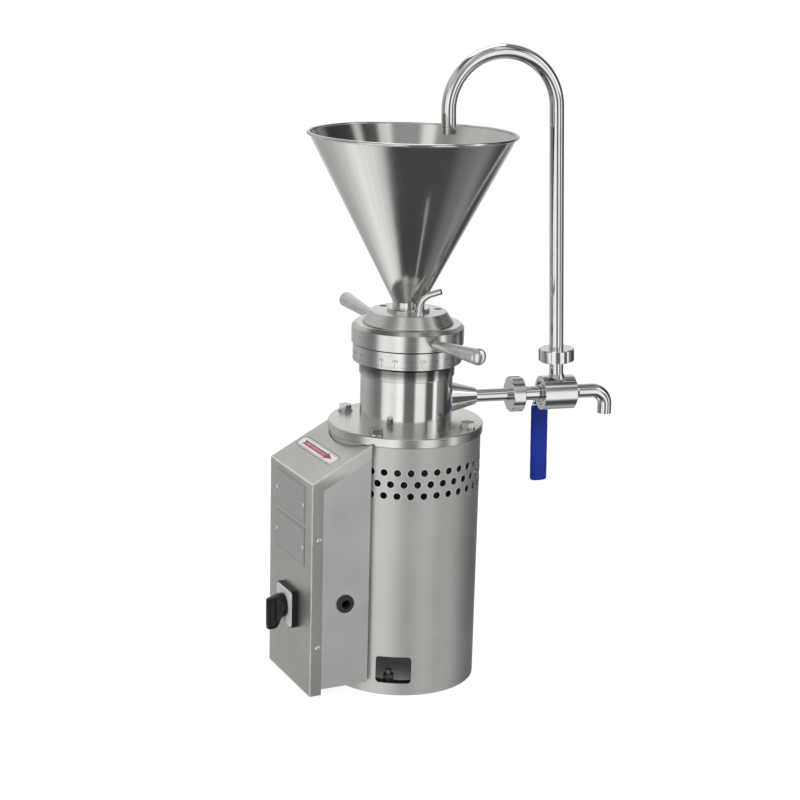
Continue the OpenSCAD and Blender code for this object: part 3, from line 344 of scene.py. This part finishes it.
# Materials
def brushed_sheet(name, scale, low, high, rough=(0.30, 0.46), lathe=False):
    """Brushed stainless sheet: fine grain along one direction and a cloudy tint."""
    m = Material(name, metallic=1.0)
    grain = m.noise(m.lathe(*scale) if lathe else m.place(scale), 1.0, 4.0, 0.65)
    cloud = m.noise(m.place(), 9.0)
    m.colour(m.blend(grain, 0.35, cloud, 0.65), low, high)
    m.rough(m.blend(grain, 0.6, cloud, 0.4), *rough)
    m.bump(grain, 0.10, 0.00006)
    return m.material


def folded_sheet(name, scale, low, high, rough=(0.30, 0.46), flange=0.70, fold_highlight_width=0.0013):
    """Brushed sheet of the box's cover: its side flanges are painted darker as shade, a painted highlight makes them
    paler again at the slope, and painted highlights run along the folds.
    """
    m = Material(name, metallic=1.0)
    grain = m.noise(m.place(scale), 1.0, 4.0, 0.65)
    cloud = m.noise(m.place(), 9.0)
    # Painted shade: the side flanges, whose faces point across y, are darker by the flange share
    sideways = m.math("GREATER_THAN", m.math("ABSOLUTE", m.facing(1)), 0.95)
    m.colour(m.blend(grain, 0.35, cloud, 0.65), low, high, where=sideways, share=flange)
    # Painted highlight: the side flanges are paler near their top, at the slope
    flange_top_highlight = m.math("MULTIPLY", m.smooth(m.height(), *FLANGE_TOP_HIGHLIGHT), sideways)
    m.rub(m.math("MULTIPLY", flange_top_highlight, cloud), (1.0, 0.99, 0.97))
    # Painted highlights: a pale line along the box's folds
    m.rub(m.box_edges(fold_highlight_width), (0.90, 0.90, 0.88))
    m.rough(m.blend(grain, 0.6, cloud, 0.4), *rough)
    m.bump(grain, 0.10, 0.00006)
    return m.material


def polished(name, low, high, rough, cloud_scale=14.0, streaks=0.0):
    """Polished stainless: nearly mirror bright with faint haze, wipe marks and, on the cone, long streaks."""
    m = Material(name, metallic=1.0)
    haze = m.noise(m.place(), cloud_scale, 4.0, 0.6)
    wipe = m.noise(m.place((60, 60, 9)), 1.0)
    tint = haze
    if streaks:
        runs = m.noise(m.lathe(16, 3, 3), 1.0, 4.0, 0.7)
        tint = m.blend(haze, 1 - streaks, runs, streaks)
        wipe = m.blend(wipe, 0.4, runs, 0.6)
    m.colour(tint, low, high)
    m.rough(m.blend(haze, 0.6, wipe, 0.4), *rough)
    m.bump(wipe, 0.05, 0.00008)
    return m.material


def turned(name, low, high, rough, painted_shade_share=1.0, shade=None):
    """Machined stainless: fine tool lines round the mill's axis.

    The underside, or else a band of heights in the dial's shade, is darker by the given share: both are painted shade."""
    m = Material(name, metallic=1.0)
    lines = m.noise(m.lathe(0.6, 5200, 5200), 1.0, 2.0, 0.7)
    cloud = m.noise(m.place(), 22.0)
    # Painted shade mask: a band of heights under the dial, or else the faces turned down
    where = None
    if shade:
        where = m.smooth(m.height(), *shade)
    elif painted_shade_share != 1.0:
        where = m.math("LESS_THAN", m.facing(2), -0.3)
    m.colour(m.blend(lines, 0.4, cloud, 0.6), low, high, where=where, share=painted_shade_share)
    m.rough(lines, *rough)
    m.bump(lines, 0.10, 0.00004)
    return m.material


def plain(name, low, high, rough, scale, strength, metallic=0.0, **sockets):
    """Cast, painted, rubber or plastic surface with a fine even grain."""
    m = Material(name, metallic=metallic, **sockets)
    grain = m.noise(m.place(), scale, 4.0, 0.6)
    cloud = m.noise(m.place(), scale / 18)
    m.colour(cloud, low, high)
    m.rough(grain, *rough)
    m.bump(grain, strength, 0.0002)
    return m.material


def laminated(name):
    """Stacked sheet iron: thin dark lines across the axis."""
    m = Material(name, metallic=1.0)
    lines = m.noise(m.lathe(0.0, 0.0, 1800), 1.0, 0.0)
    m.colour(lines, (0.14, 0.14, 0.15), (0.30, 0.30, 0.31), 0.45, 0.55)
    m.rough(lines, 0.35, 0.55)
    m.bump(lines, 0.3, 0.0002)
    return m.material


def wound(name):
    """Varnished copper winding heads."""
    m = Material(name, metallic=0.6)
    wires = m.noise(m.lathe(30, 900, 900), 1.0, 2.0)
    m.colour(wires, (0.30, 0.10, 0.035), (0.52, 0.22, 0.09))
    m.rough(wires, 0.25, 0.45)
    m.bump(wires, 0.4, 0.0004)
    return m.material


STEEL = ((0.60, 0.59, 0.57), (0.72, 0.71, 0.69))
drum_sheet = brushed_sheet("brushed_drum", (3.0, 40, 1500), (0.585, 0.575, 0.555), (0.745, 0.735, 0.715),
                           (0.43, 0.57), lathe=True)
box_sheet = brushed_sheet("brushed_box", (1500, 1500, 26), (0.56, 0.555, 0.545), (0.72, 0.715, 0.705))
cover_sheet = folded_sheet("brushed_cover", (1500, 30, 1500), (0.50, 0.49, 0.465), (0.68, 0.67, 0.645))
bare_plate = brushed_sheet("bare_plate", (60, 30, 5200), (0.52, 0.515, 0.50), (0.60, 0.595, 0.58))
mirror = polished("polished_hopper", (0.59, 0.58, 0.56), (0.68, 0.67, 0.65), (0.08, 0.18), streaks=0.7)
chrome = polished("polished_fittings", (0.64, 0.64, 0.63), (0.72, 0.72, 0.71), (0.05, 0.13), 30.0)
machined = turned("turned_steel", *STEEL, (0.09, 0.17))
# Painted shade: darker on the collar where the dial shades it
machined_body = turned("turned_body", *STEEL, (0.09, 0.17), painted_shade_share=0.30, shade=COLLAR_SHADE)
# Painted shade: darker on the rings' undersides
machined_ring = turned("turned_rings", *STEEL, (0.17, 0.27), painted_shade_share=0.12)
machined_soft = turned("turned_plate", (0.62, 0.61, 0.59), (0.72, 0.71, 0.69), (0.20, 0.34))
tool_steel = turned("tool_steel", (0.42, 0.42, 0.43), (0.52, 0.52, 0.53), (0.20, 0.34))
handle_steel = plain("handle_steel", (0.60, 0.60, 0.59), (0.70, 0.70, 0.69), (0.18, 0.30), 900, 0.08, 1.0)
# A paler copy of the handle steel, painting highlights on the grips' end domes
grip_face_highlight = plain("grip_face_highlight", (0.68, 0.68, 0.67), (0.78, 0.78, 0.77), (0.18, 0.28), 900, 0.08, 1.0)
fastener = plain("fastener_steel", (0.46, 0.46, 0.445), (0.62, 0.62, 0.60), (0.10, 0.20), 500, 0.08, 1.0)
plain_steel = plain("plain_steel", (0.16, 0.155, 0.15), (0.24, 0.235, 0.225), (0.40, 0.60), 300, 0.25, 1.0)
# A pale steel that paints highlights on the vent rims, screw heads and rivets
painted_highlight_steel = plain("painted_highlight_steel", (0.82, 0.82, 0.80), (0.92, 0.92, 0.90), (0.36, 0.50), 700, 0.10, 1.0)
motor_paint = plain("motor_paint", (0.060, 0.070, 0.078), (0.085, 0.095, 0.105), (0.38, 0.52), 700, 0.2)
black_rubber = plain("black_rubber", (0.010, 0.010, 0.011), (0.022, 0.022, 0.023), (0.42, 0.62), 900, 0.2)
black_plastic = plain("black_plastic", (0.004, 0.004, 0.005), (0.009, 0.009, 0.010), (0.20, 0.32), 1400, 0.12,
                      Specular_IOR_Level=0.30)
white_plastic = plain("white_plastic", (0.70, 0.70, 0.68), (0.78, 0.78, 0.76), (0.35, 0.5), 600, 0.1)
blue_vinyl = plain("blue_vinyl", (0.005, 0.017, 0.20), (0.010, 0.030, 0.29), (0.30, 0.42), 160, 0.10,
                   Specular_IOR_Level=0.16)
label_white = plain("label_white", (0.70, 0.69, 0.68), (0.78, 0.77, 0.76), (0.30, 0.42), 900, 0.05)
label_red = plain("label_red", (0.22, 0.030, 0.060), (0.30, 0.050, 0.090), (0.30, 0.42), 900, 0.05)
label_pink = plain("label_pink", (0.46, 0.14, 0.20), (0.58, 0.20, 0.27), (0.30, 0.42), 900, 0.05)
# Dark for the label's printed frame line, and for the painted shadow round its edge
label_print_and_edge_shadow = plain("label_print_and_edge_shadow", (0.030, 0.028, 0.030), (0.055, 0.052, 0.055), (0.35, 0.5), 900, 0.05)
face_grey = plain("face_grey", (0.58, 0.58, 0.58), (0.68, 0.68, 0.68), (0.35, 0.5), 900, 0.06)
dial_mark = plain("dial_mark", (0.10, 0.10, 0.10), (0.17, 0.165, 0.16), (0.5, 0.7), 1200, 0.1)
# Dark for the etched plate lines, which are print, and for the screws' cross recesses, where it is painted shade
engraved = plain("etched_print_and_recess_shade", (0.035, 0.034, 0.033), (0.075, 0.073, 0.070), (0.5, 0.7), 1200, 0.1)

BY_SLOT = {
    "stainless": chrome, "fastener": fastener, "tool_steel": tool_steel, "plain_steel": plain_steel,
    "motor_paint": motor_paint, "laminated_iron": laminated("laminated_iron"), "winding": wound("winding"),
    "black_rubber": black_rubber, "black_plastic": black_plastic, "white_plastic": white_plastic,
    "blue_vinyl": blue_vinyl, "bare_plate": bare_plate, "arrow_label": label_white,
}
BY_NODE = {
    "drum": drum_sheet, "box_shell": box_sheet, "box_cover": cover_sheet, "hopper": mirror,
    "hopper_neck": machined, "mill_body": machined_body, "dial_ring": machined_ring, "handle_ring": machined_ring,
    "cover": machined_soft, "plate": machined_soft, "handle_grips": handle_steel,
    "switch_plate": face_grey, "earth_stud": plain_steel,
}
for part in frame["record"]["subparts"]:
    mesh = frame["nodes"][part["node"]].data
    mesh.materials.clear()
    mesh.materials.append(BY_NODE.get(part["node"], BY_SLOT[part["material_slot"]]))


# Places on the solids, in millimetres
def outlet_point(x, y, z):
    """A point of the outlet's frame: x out along it, z up."""
    c, s = math.cos(OUTLET_TURN), math.sin(OUTLET_TURN)
    return (x * c - y * s, x * s + y * c, z + Z_OUT)


def lever_point(x, y, z):
    """A point of the hanging lever's frame, which leans a little about the stem."""
    c, s = math.cos(LEVER_LEAN), math.sin(LEVER_LEAN)
    return outlet_point(VALVE_X + x * c - z * s, y, x * s + z * c)


def label_point(x, y, z):
    """A point about the label on the box's slope: x up the slope, y along it, z off it."""
    c, s = math.cos(BOX_SLOPE), math.sin(BOX_SLOPE)
    x += LABEL_UP
    return (-BOX_FRONT + x * c - z * s, LABEL_SIDE + y, BOX_H + x * s + z * c)


def front_point(y, z, out):
    """A point on the box's front, at a distance out from it."""
    return (-BOX_FRONT - out, y, z)


def handle_point(out, y, z, turn):
    """A point of one handle's frame: out along it from the dial's side, and across it."""
    c, s = math.cos(HANDLE_TILT), math.sin(HANDLE_TILT)
    reach = DIAL_R + out * c - z * s
    return (reach * math.cos(turn) - y * math.sin(turn), reach * math.sin(turn) + y * math.cos(turn),
            HANDLE_Z + out * s + z * c)


def around(radius, angle, z):
    """A point at an angle round the mill's axis."""
    return (radius * math.cos(angle), radius * math.sin(angle), z)


# Mesh helpers
def add_mesh(name, verts, faces, material, body, slot, smooth=False):
    mesh = bpy.data.meshes.new(name)
    mesh.from_pydata([Vector(v) * MM for v in verts], [], faces)
    mesh.materials.append(material)
    if smooth:
        for polygon in mesh.polygons:
            polygon.use_smooth = True
    mesh.update()
    made = bpy.data.objects.new(name, mesh)
    scene.collection.objects.link(made)
    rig.ride(made, body)
    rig.slot(made, slot)
    return made


class Shape:
    """Vertices and faces that grow piece by piece."""

    def __init__(self):
        self.verts, self.faces = [], []

    def put(self, points, polygons):
        start = len(self.verts)
        self.verts.extend(points)
        self.faces.extend(tuple(start + i for i in polygon) for polygon in polygons)

    def __iter__(self):
        return iter((self.verts, self.faces))


def loft(loops):
    """Vertices and faces of a closed tube through loops of equal length."""
    n = len(loops[0])
    verts = [v for loop in loops for v in loop]
    faces = []
    for k in range(len(loops) - 1):
        for i in range(n):
            j = (i + 1) % n
            faces.append((k * n + i, k * n + j, (k + 1) * n + j, (k + 1) * n + i))
    faces.append(tuple(range(n - 1, -1, -1)))
    faces.append(tuple((len(loops) - 1) * n + i for i in range(n)))
    return verts, faces


def revolve(profile, count):
    """Loops round an axis from (radius, height)."""
    turns = [2 * math.pi * i / count for i in range(count)]
    return [[(r * math.cos(t), r * math.sin(t), h) for t in turns] for r, h in profile]


def squared(angle, power):
    """Cosine and sine bent toward a square as the power falls below 1."""
    c, s = math.cos(angle), math.sin(angle)
    return math.copysign(abs(c) ** power, c), math.copysign(abs(s) ** power, s)


def rounded(half_x, half_y, r):
    """The outline of a rectangle with round corners."""
    steps = 8
    out = []
    for cx, cy, a0 in ((1, 1, 0), (-1, 1, 90), (-1, -1, 180), (1, -1, 270)):
        for i in range(steps + 1):
            a = math.radians(a0 + 90 * i / steps)
            out.append((cx * (half_x - r) + r * math.cos(a), cy * (half_y - r) + r * math.sin(a)))
    return out


def border(half_x, half_y, r, width):
    """Quads of a rounded frame line."""
    outer = rounded(half_x, half_y, r)
    inner = rounded(half_x - width, half_y - width, max(0.2, r - width))
    n = len(outer)
    return [[outer[i], outer[(i + 1) % n], inner[(i + 1) % n], inner[i]] for i in range(n)]


# Dipped vinyl sleeve of the valve lever: soft rim, rounded foot and the drip point of the dip
def sleeve_loops():
    half_w, half_t, corner, count = 12.0, 4.5, 2 / 3.2, 40
    rim = SLEEVE_TOP - 3.2
    foot = SLEEVE_LOW + 5.0
    profile = [(SLEEVE_TOP - 0.2, 0.66), (SLEEVE_TOP, 0.76), (SLEEVE_TOP - 0.7, 0.90), (SLEEVE_TOP - 1.6, 0.96),
               (rim, 1.0)]
    for i in range(1, 15):
        profile.append((rim + (foot - rim) * i / 15, 1.0 + 0.006 * math.sin(i * 1.7)))
    for k in range(9):
        t = k / 8 * math.pi / 2
        profile.append((foot - 4.2 * math.sin(t), 0.16 + 0.84 * math.cos(t) ** 0.35))
    profile += [(SLEEVE_LOW + 0.4, 0.12), (SLEEVE_LOW, 0.06)]
    loops = []
    for z, k in profile:
        wide, thick = half_w * k, half_t * (max(k, 0.45) if k > 0.2 else 2 * k)
        outline = [squared(2 * math.pi * i / count, corner) for i in range(count)]
        loops.append([lever_point(wide * x, LEVER_Y + thick * y, z) for x, y in outline])
    return loops


sleeve = add_mesh("grip_sleeve", *loft(sleeve_loops()), blue_vinyl, "valve_handle", "blue_vinyl", smooth=True)
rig.replaces(sleeve, "lever_sleeve")


# Label on the slope: rounded face, a dark line round its edge that paints the edge's shadow, a printed frame line and
# a plain arrow
def label_loop(half_x, half_y, r, lift):
    return [label_point(x, y, lift) for x, y in rounded(half_x, half_y, r)]


def flat_print(name, polygons, material, lift):
    """Thin printed shapes on the label's face."""
    shape = Shape()
    for polygon in polygons:
        n = len(polygon)
        sides = [(i, n + i, n + (i + 1) % n, (i + 1) % n) for i in range(n)]
        points = [label_point(x, y, z) for z in (LABEL_T + lift, LABEL_T - 0.01) for x, y in polygon]
        shape.put(points, [range(n), range(2 * n - 1, n - 1, -1), *sides])
    add_mesh(name, *shape, material, "frame", "arrow_label")


label_loops = [label_loop(9.7, 57.9, 8.2, 0.0), label_loop(9.7, 57.9, 8.2, 0.45), label_loop(9.5, 57.7, 8.0, LABEL_T)]
label = add_mesh("label_face", *loft(label_loops), label_white, "frame", "arrow_label")
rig.replaces(label, "arrow_plate")
# Painted shadow: a dark line round the label's edge
flat_print("label_edge_shadow", border(9.48, 57.68, 7.98, 1.1), label_print_and_edge_shadow, 0.03)
flat_print("label_frame", border(7.0, 55.2, 5.6, 0.55), label_print_and_edge_shadow, 0.03)
ARROW = [
    [(-3.7, 46), (-3.7, -26), (0, -26), (0, 41)], [(0, 41), (0, -26), (3.7, -26), (3.7, 46)],
    [(-5.6, -26), (0, -44.5), (5.6, -26)],
]
flat_print("label_arrow", ARROW, label_red, 0.04)
flat_print("label_stripe", [[(-1.7, 37), (-1.7, -24), (1.7, -24), (1.7, 37)]], label_pink, 0.05)


# Numbers and ticks engraved round the graduated ring
def text_mesh(text, size):
    """The flat mesh of a text in Blender's own font."""
    font = bpy.data.curves.new("number", "FONT")
    font.body = text
    font.size = size
    font.align_x = "CENTER"
    font.resolution_u = 3
    holder = bpy.data.objects.new("number", font)
    scene.collection.objects.link(holder)
    bpy.context.view_layer.update()
    mesh = bpy.data.meshes.new_from_object(holder.evaluated_get(bpy.context.evaluated_depsgraph_get()))
    points, polygons = [tuple(v.co) for v in mesh.vertices], [tuple(p.vertices) for p in mesh.polygons]
    bpy.data.objects.remove(holder)
    bpy.data.curves.remove(font)
    bpy.data.meshes.remove(mesh)
    return points, polygons


def dial_scale():
    count, first, step, ticks = 25, -100 - 12 * 14.4, 14.4, 5
    text_size, text_z, tick_z = 5.6, 11.2, 2.6
    shape = Shape()

    def on_ring(degrees, x, z):
        return around(DIAL_LOW_R + 0.03, math.radians(degrees) + x / DIAL_LOW_R, Z_DIAL + z)

    for k in range(count):
        centre = first + step * k
        points, polygons = text_mesh(str(10 * k), text_size)
        shape.put([on_ring(centre, x, text_z + y) for x, y, _ in points], polygons)
        for j in range(ticks):
            half, high = (0.28, 9.6) if j == 0 else (0.20, 6.2)
            corners = [(-half, tick_z), (half, tick_z), (half, high), (-half, high)]
            shape.put([on_ring(centre + step / ticks * j, x, z) for x, z in corners], [range(4)])
    return shape


add_mesh("dial_numbers", *dial_scale(), dial_mark, "dial", "stainless")


# Burrs round the drum's vent holes, in a pale steel that paints their highlights
def vent_rims():
    rows, columns, count = 3, 36, 24
    profile = ((VENT_R - 0.05, 0.02), (VENT_R + 0.3, 0.26), (VENT_R + 0.9, 0.02))
    faces = [(p + k, p + count + k, p + count + (k + 1) % count, p + (k + 1) % count)
             for p in (0, count) for k in range(count)]
    shape = Shape()
    for row in range(rows):
        z = DRUM_H - VENT_DROP - VENT_PITCH * row
        for i in range(columns):
            a = -1 + 10 * (i + row % 2 / 2)
            if abs((a + 540) % 360 - 180) > VENT_LAST:
                continue
            points = []
            for r, lift in profile:
                for k in range(count):
                    t = 2 * math.pi * k / count
                    angle = math.radians(a) + r * math.cos(t) / DRUM_R
                    points.append(around(DRUM_R + lift, angle, z + r * math.sin(t)))
            shape.put(points, faces)
    return shape


add_mesh("vent_rims", *vent_rims(), painted_highlight_steel, "frame", "stainless", smooth=True)


# Thin etched frame lines on the bare plates
def plate_lines():
    inset = 1.6
    shape = Shape()
    for z in NAME_Z:
        for quad in border(NAME_H / 2 - inset, NAME_W / 2 - inset, 1.2, 0.35):
            shape.put([front_point(y, z + x, NAME_T + 0.02) for x, y in quad], [range(4)])
    return shape


add_mesh("plate_frames", *plate_lines(), engraved, "frame", "bare_plate")


# Low domes on the ends of the two grips
def grip_domes():
    profile = [(8.9, 0.0), (8.4, 0.30), (7.2, 0.75), (5.6, 1.15), (3.8, 1.45), (1.9, 1.65), (0.5, 1.70)]
    points, faces = loft(revolve(profile, 40))
    shape = Shape()
    for turn in (HANDLE_TURN, HANDLE_TURN + math.pi):
        shape.put([handle_point(GRIP_END + h, y, z, turn) for y, z, h in points], faces)
    return shape


# Painted highlight: the domes take the paler grip steel
add_mesh("grip_ends", *grip_domes(), grip_face_highlight, "dial", "stainless", smooth=True)


# Pan heads of the cover screws
def screw_point(x, y, h, side, z):
    return (SCREW_X + x, side * (HALF_W + h), z + y)


def screw_heads():
    profile = [(3.9, 0.0), (4.0, 0.5), (3.85, 1.1), (3.4, 1.65), (2.7, 2.05), (1.8, 2.3), (0.9, 2.4)]
    points, faces = loft(revolve(profile, 32))
    shape = Shape()
    for side in (-1, 1):
        for z in SCREW_Z:
            shape.put([screw_point(x, y, h, side, z) for x, y, h in points],
                      [p if side < 0 else p[::-1] for p in faces])
    return shape


# Painted highlights: the screw heads are in the pale highlight steel
heads = add_mesh("screw_heads", *screw_heads(), painted_highlight_steel, "frame", "fastener", smooth=True)
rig.replaces(heads, "cover_screws")


# Domed rivets of the bare plates
def rivet_heads():
    profile = [(3.0, 0.0), (2.95, 0.5), (2.6, 1.0), (2.0, 1.4), (1.2, 1.65), (0.5, 1.72)]
    points, faces = loft(revolve(profile, 28))
    off_centre = NAME_W / 2 - 3.5
    shape = Shape()
    for z in NAME_Z:
        for side in (-1, 1):
            shape.put([front_point(side * off_centre - y, z + x, NAME_T + h) for x, y, h in points], faces)
    return shape


# Painted highlights: the rivets are in the pale highlight steel
rivet_set = add_mesh("rivet_heads", *rivet_heads(), painted_highlight_steel, "frame", "fastener", smooth=True)
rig.replaces(rivet_set, "rivets")


# Cross recesses of the cover screws, as dark shapes that paint the shade in the recesses
def screw_crosses():
    half_long, half_mid, half_wide, low, high = 2.1, 0.5, 0.45, 2.27, 2.44
    slot = [(u * half, v * half_wide, h) for half, h in ((half_long, low), (half_mid, high))
            for u, v in ((-1, -1), (1, -1), (1, 1), (-1, 1))]
    shape = Shape()
    for side in (-1, 1):
        for z in SCREW_Z:
            for turn in (20, 110):
                c, s = math.cos(math.radians(turn)), math.sin(math.radians(turn))
                points = [screw_point(u * c - v * s, u * s + v * c, h, side, z) for u, v, h in slot]
                shape.put(points, [(0, 4, 7, 3), (4, 5, 6, 7), (5, 1, 2, 6)])
    return shape


# Painted shade: the recesses are dark shapes on the heads
add_mesh("screw_crosses", *screw_crosses(), engraved, "frame", "fastener")


# Moulded switch: rounded base and face, and a knob whose grip rises from a broad hub
def moulded(name, profile, node, material, slot):
    """A rounded block on the box front from (half height, half width, corner, distance out)."""
    loops = [[front_point(-y, SWITCH_Z + x, out) for x, y in rounded(half_x, half_y, r)]
             for half_x, half_y, r, out in profile]
    made = add_mesh(name, *loft(loops), material, "frame", slot)
    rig.replaces(made, node)


moulded("switch_rim", [(25.4, 26.4, 5.0, 0.0), (25.4, 26.4, 5.0, 6.9), (24.9, 25.9, 4.6, 7.5)],
        "switch_base", black_plastic, "black_plastic")
moulded("switch_face", [(24.0, 25.0, 4.2, 7.5), (24.0, 25.0, 4.2, 8.3), (23.7, 24.7, 4.0, 8.5)],
        "switch_plate", face_grey, "bare_plate")


def knob_loops():
    """The hub narrows into a grip that runs down past the hub with a square foot.

    Each ring is (distance out, height above the axis, height below it, half width)."""
    hub_end, grip_rise, count = 14, 9, 48
    rings = [(8.9, 15.6, 15.6, 15.6), (9.6, 16.0, 16.0, 16.0), (14.0, 15.6, 15.6, 15.6), (16.0, 15.2, 18.5, 13.6),
             (17.8, 14.7, 26.5, 10.0), (19.4, 14.2, 30.0, 7.8), (23.0, 13.0, 31.2, 6.4), (28.0, 11.6, 31.4, 5.7),
             (31.0, 10.8, 31.2, 5.2), (31.9, 10.0, 30.4, 4.4)]
    loops = []
    for out, top, low, wide in rings:
        power = 2 / (2 + 4.0 * min(1.0, max(0.0, (out - hub_end) / grip_rise)))
        outline = [squared(2 * math.pi * i / count, power) for i in range(count)]
        loops.append([front_point(-wide * y, SWITCH_Z + x * (top if x > 0 else low), out) for x, y in outline])
    return loops


knob = add_mesh("knob_grip", *loft(knob_loops()), black_plastic, "switch", "black_plastic", smooth=True)
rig.replaces(knob, "switch_knob")


# Pale floor: white to the camera, with part of the object's shadow left in it
FLOOR_HALF, FLOOR_DROP = 9, 0.0005
FLOOR_WHITE, WHITE_SHARE = 1.16, 0.78
UNDER_DRUM_R = 0.0985
floor_mesh = bpy.data.meshes.new("floor")
floor_corners = [(x * FLOOR_HALF, y * FLOOR_HALF, -FLOOR_DROP) for x, y in ((-1, -1), (1, -1), (1, 1), (-1, 1))]
floor_mesh.from_pydata(floor_corners, [], [(0, 1, 2, 3)])
floor = bpy.data.objects.new("floor", floor_mesh)
scene.collection.objects.link(floor)
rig.stage(floor)
floor.visible_glossy = False
floor_material = bpy.data.materials.new("pale_floor")
floor_material.use_nodes = True
floor_mesh.materials.append(floor_material)
t = Tree(floor_material.node_tree)
matte = t.add("ShaderNodeBsdfDiffuse", {"Color": (0.88, 0.88, 0.88, 1)})
white = t.add("ShaderNodeEmission", {"Color": WHITE, "Strength": FLOOR_WHITE})
from_axis = t.add("ShaderNodeVectorMath", operation="LENGTH")
t.link(t.add("ShaderNodeTexCoord").outputs["Object"], from_axis.inputs[0])
outside = t.math("GREATER_THAN", from_axis.outputs["Value"], UNDER_DRUM_R)
seen_outside = t.math("MULTIPLY", t.add("ShaderNodeLightPath").outputs["Is Camera Ray"], outside)
floor_shader = t.mix_shaders(t.math("MULTIPLY", seen_outside, WHITE_SHARE), matte.outputs[0], white.outputs[0])
t.link(floor_shader, t.add("ShaderNodeOutputMaterial").inputs["Surface"])

# The room that the metal shows: soft boxes and dark cards by direction, as (degrees from the camera, strength)
FRONT = -116.1
ROOM_GAIN = 1.5
ROOM = [
    (-180, 0.90), (-165, 0.70), (-150, 0.50), (-130, 0.57), (-120, 0.57), (-100, 0.40), (-80, 0.24), (-66, 0.28),
    (-60, 1.05), (-46, 1.22), (-38, 1.10), (-26, 1.08), (-21, 1.40), (-9, 1.40), (-4, 0.20), (20, 0.17), (24, 1.18),
    (46, 1.18), (51, 0.13), (69, 0.12), (73, 1.50), (79, 1.50), (83, 0.34), (102, 0.24), (112, 0.06), (148, 0.08),
    (165, 0.60), (180, 0.90),
]
# Below, above and overhead it differs, as (part of a turn, share of the gain), from one height of the ray to another
OTHER_ROOMS = [
    ((-0.45, -0.75), [
        (0.0, 0.10), (0.07, 0.12), (0.15, 0.54), (0.24, 0.78), (0.31, 0.70), (0.355, 0.50), (0.385, 0.12),
        (0.42, 0.055), (0.68, 0.06), (0.735, 0.13), (0.785, 0.17), (0.825, 0.31), (0.915, 0.36), (0.945, 0.22),
        (1.0, 0.10)]),
    ((0.10, 0.45), [
        (0.0, 0.58), (0.08, 0.58), (0.14, 0.44), (0.30, 0.46), (0.42, 0.34), (0.52, 0.36), (0.60, 0.27), (0.64, 0.05),
        (0.70, 0.04), (0.715, 0.50), (0.73, 0.50), (0.745, 0.04), (0.85, 0.03), (0.89, 0.34), (1.0, 0.58)]),
    ((0.62, 0.74), [
        (0.0, 0.24), (0.12, 0.08), (0.33, 0.10), (0.40, 0.30), (0.415, 0.75), (0.455, 0.75), (0.47, 0.26),
        (0.58, 0.26), (0.595, 0.70), (0.635, 0.70), (0.65, 0.12), (0.745, 0.06), (0.755, 0.60), (0.77, 0.60),
        (0.78, 0.06), (1.0, 0.24)]),
]
SOFT_LIGHT = 0.62
world = bpy.data.worlds.new("studio")
world.use_nodes = True
scene.world = world
t = Tree(world.node_tree)
turned_ray = t.add("ShaderNodeVectorRotate", {"Angle": -math.radians(FRONT)}, rotation_type="Z_AXIS")
t.link(t.add("ShaderNodeTexCoord").outputs["Generated"], turned_ray.inputs["Vector"])
ray_x, ray_y, ray_z = t.parts(turned_ray.outputs[0])
part_of_turn = t.math("ADD", t.math("DIVIDE", t.math("ARCTAN2", ray_y, ray_x), 2 * math.pi), 0.5)
room_colour = t.ramp(part_of_turn, [((degrees + 180) / 360, value / ROOM_GAIN) for degrees, value in ROOM])
for heights, stops in OTHER_ROOMS:
    room_colour = t.mix(t.smooth(ray_z, *heights), room_colour, t.ramp(part_of_turn, stops))
room = t.add("ShaderNodeBackground", {"Strength": ROOM_GAIN})
t.link(room_colour, room.inputs["Color"])
soft = t.add("ShaderNodeBackground", {"Color": WHITE, "Strength": SOFT_LIGHT})
backdrop = t.add("ShaderNodeBackground", {"Color": WHITE})
path = t.add("ShaderNodeLightPath")
lit = t.mix_shaders(path.outputs["Is Glossy Ray"], soft.outputs[0], room.outputs[0])
looked_at = t.math("MAXIMUM", path.outputs["Is Camera Ray"], path.outputs["Is Transmission Ray"])
t.link(t.mix_shaders(looked_at, lit, backdrop.outputs[0]), t.add("ShaderNodeOutputWorld").inputs["Surface"])


# Soft studio lamps
def area_lamp(name, place, target, size, watts):
    data = bpy.data.lights.new(name, "AREA")
    data.shape = "RECTANGLE"
    data.size, data.size_y = size
    data.energy = watts
    lamp = bpy.data.objects.new(name, data)
    scene.collection.objects.link(lamp)
    lamp.location = place
    lamp.rotation_mode = "QUATERNION"
    lamp.rotation_quaternion = (Vector(target) - Vector(place)).to_track_quat("-Z", "Y")
    return lamp


key = area_lamp("key", (-1.15, -2.15, 2.2), (0, 0, 0.3), (1.6, 1.6), 44)
key.visible_glossy = False
area_lamp("fill", (1.7, -1.8, 1.6), (0, 0, 0.4), (1.2, 1.6), 6)
area_lamp("top", (0.2, 0.9, 2.8), (0, 0, 0.4), (1.6, 1.6), 16)

visual_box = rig.bounds()
with open("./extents.json", "w") as f:
    json.dump({"cad": [list(cad_box[0]), list(cad_box[1])], "visual": [list(visual_box[0]), list(visual_box[1])]}, f)
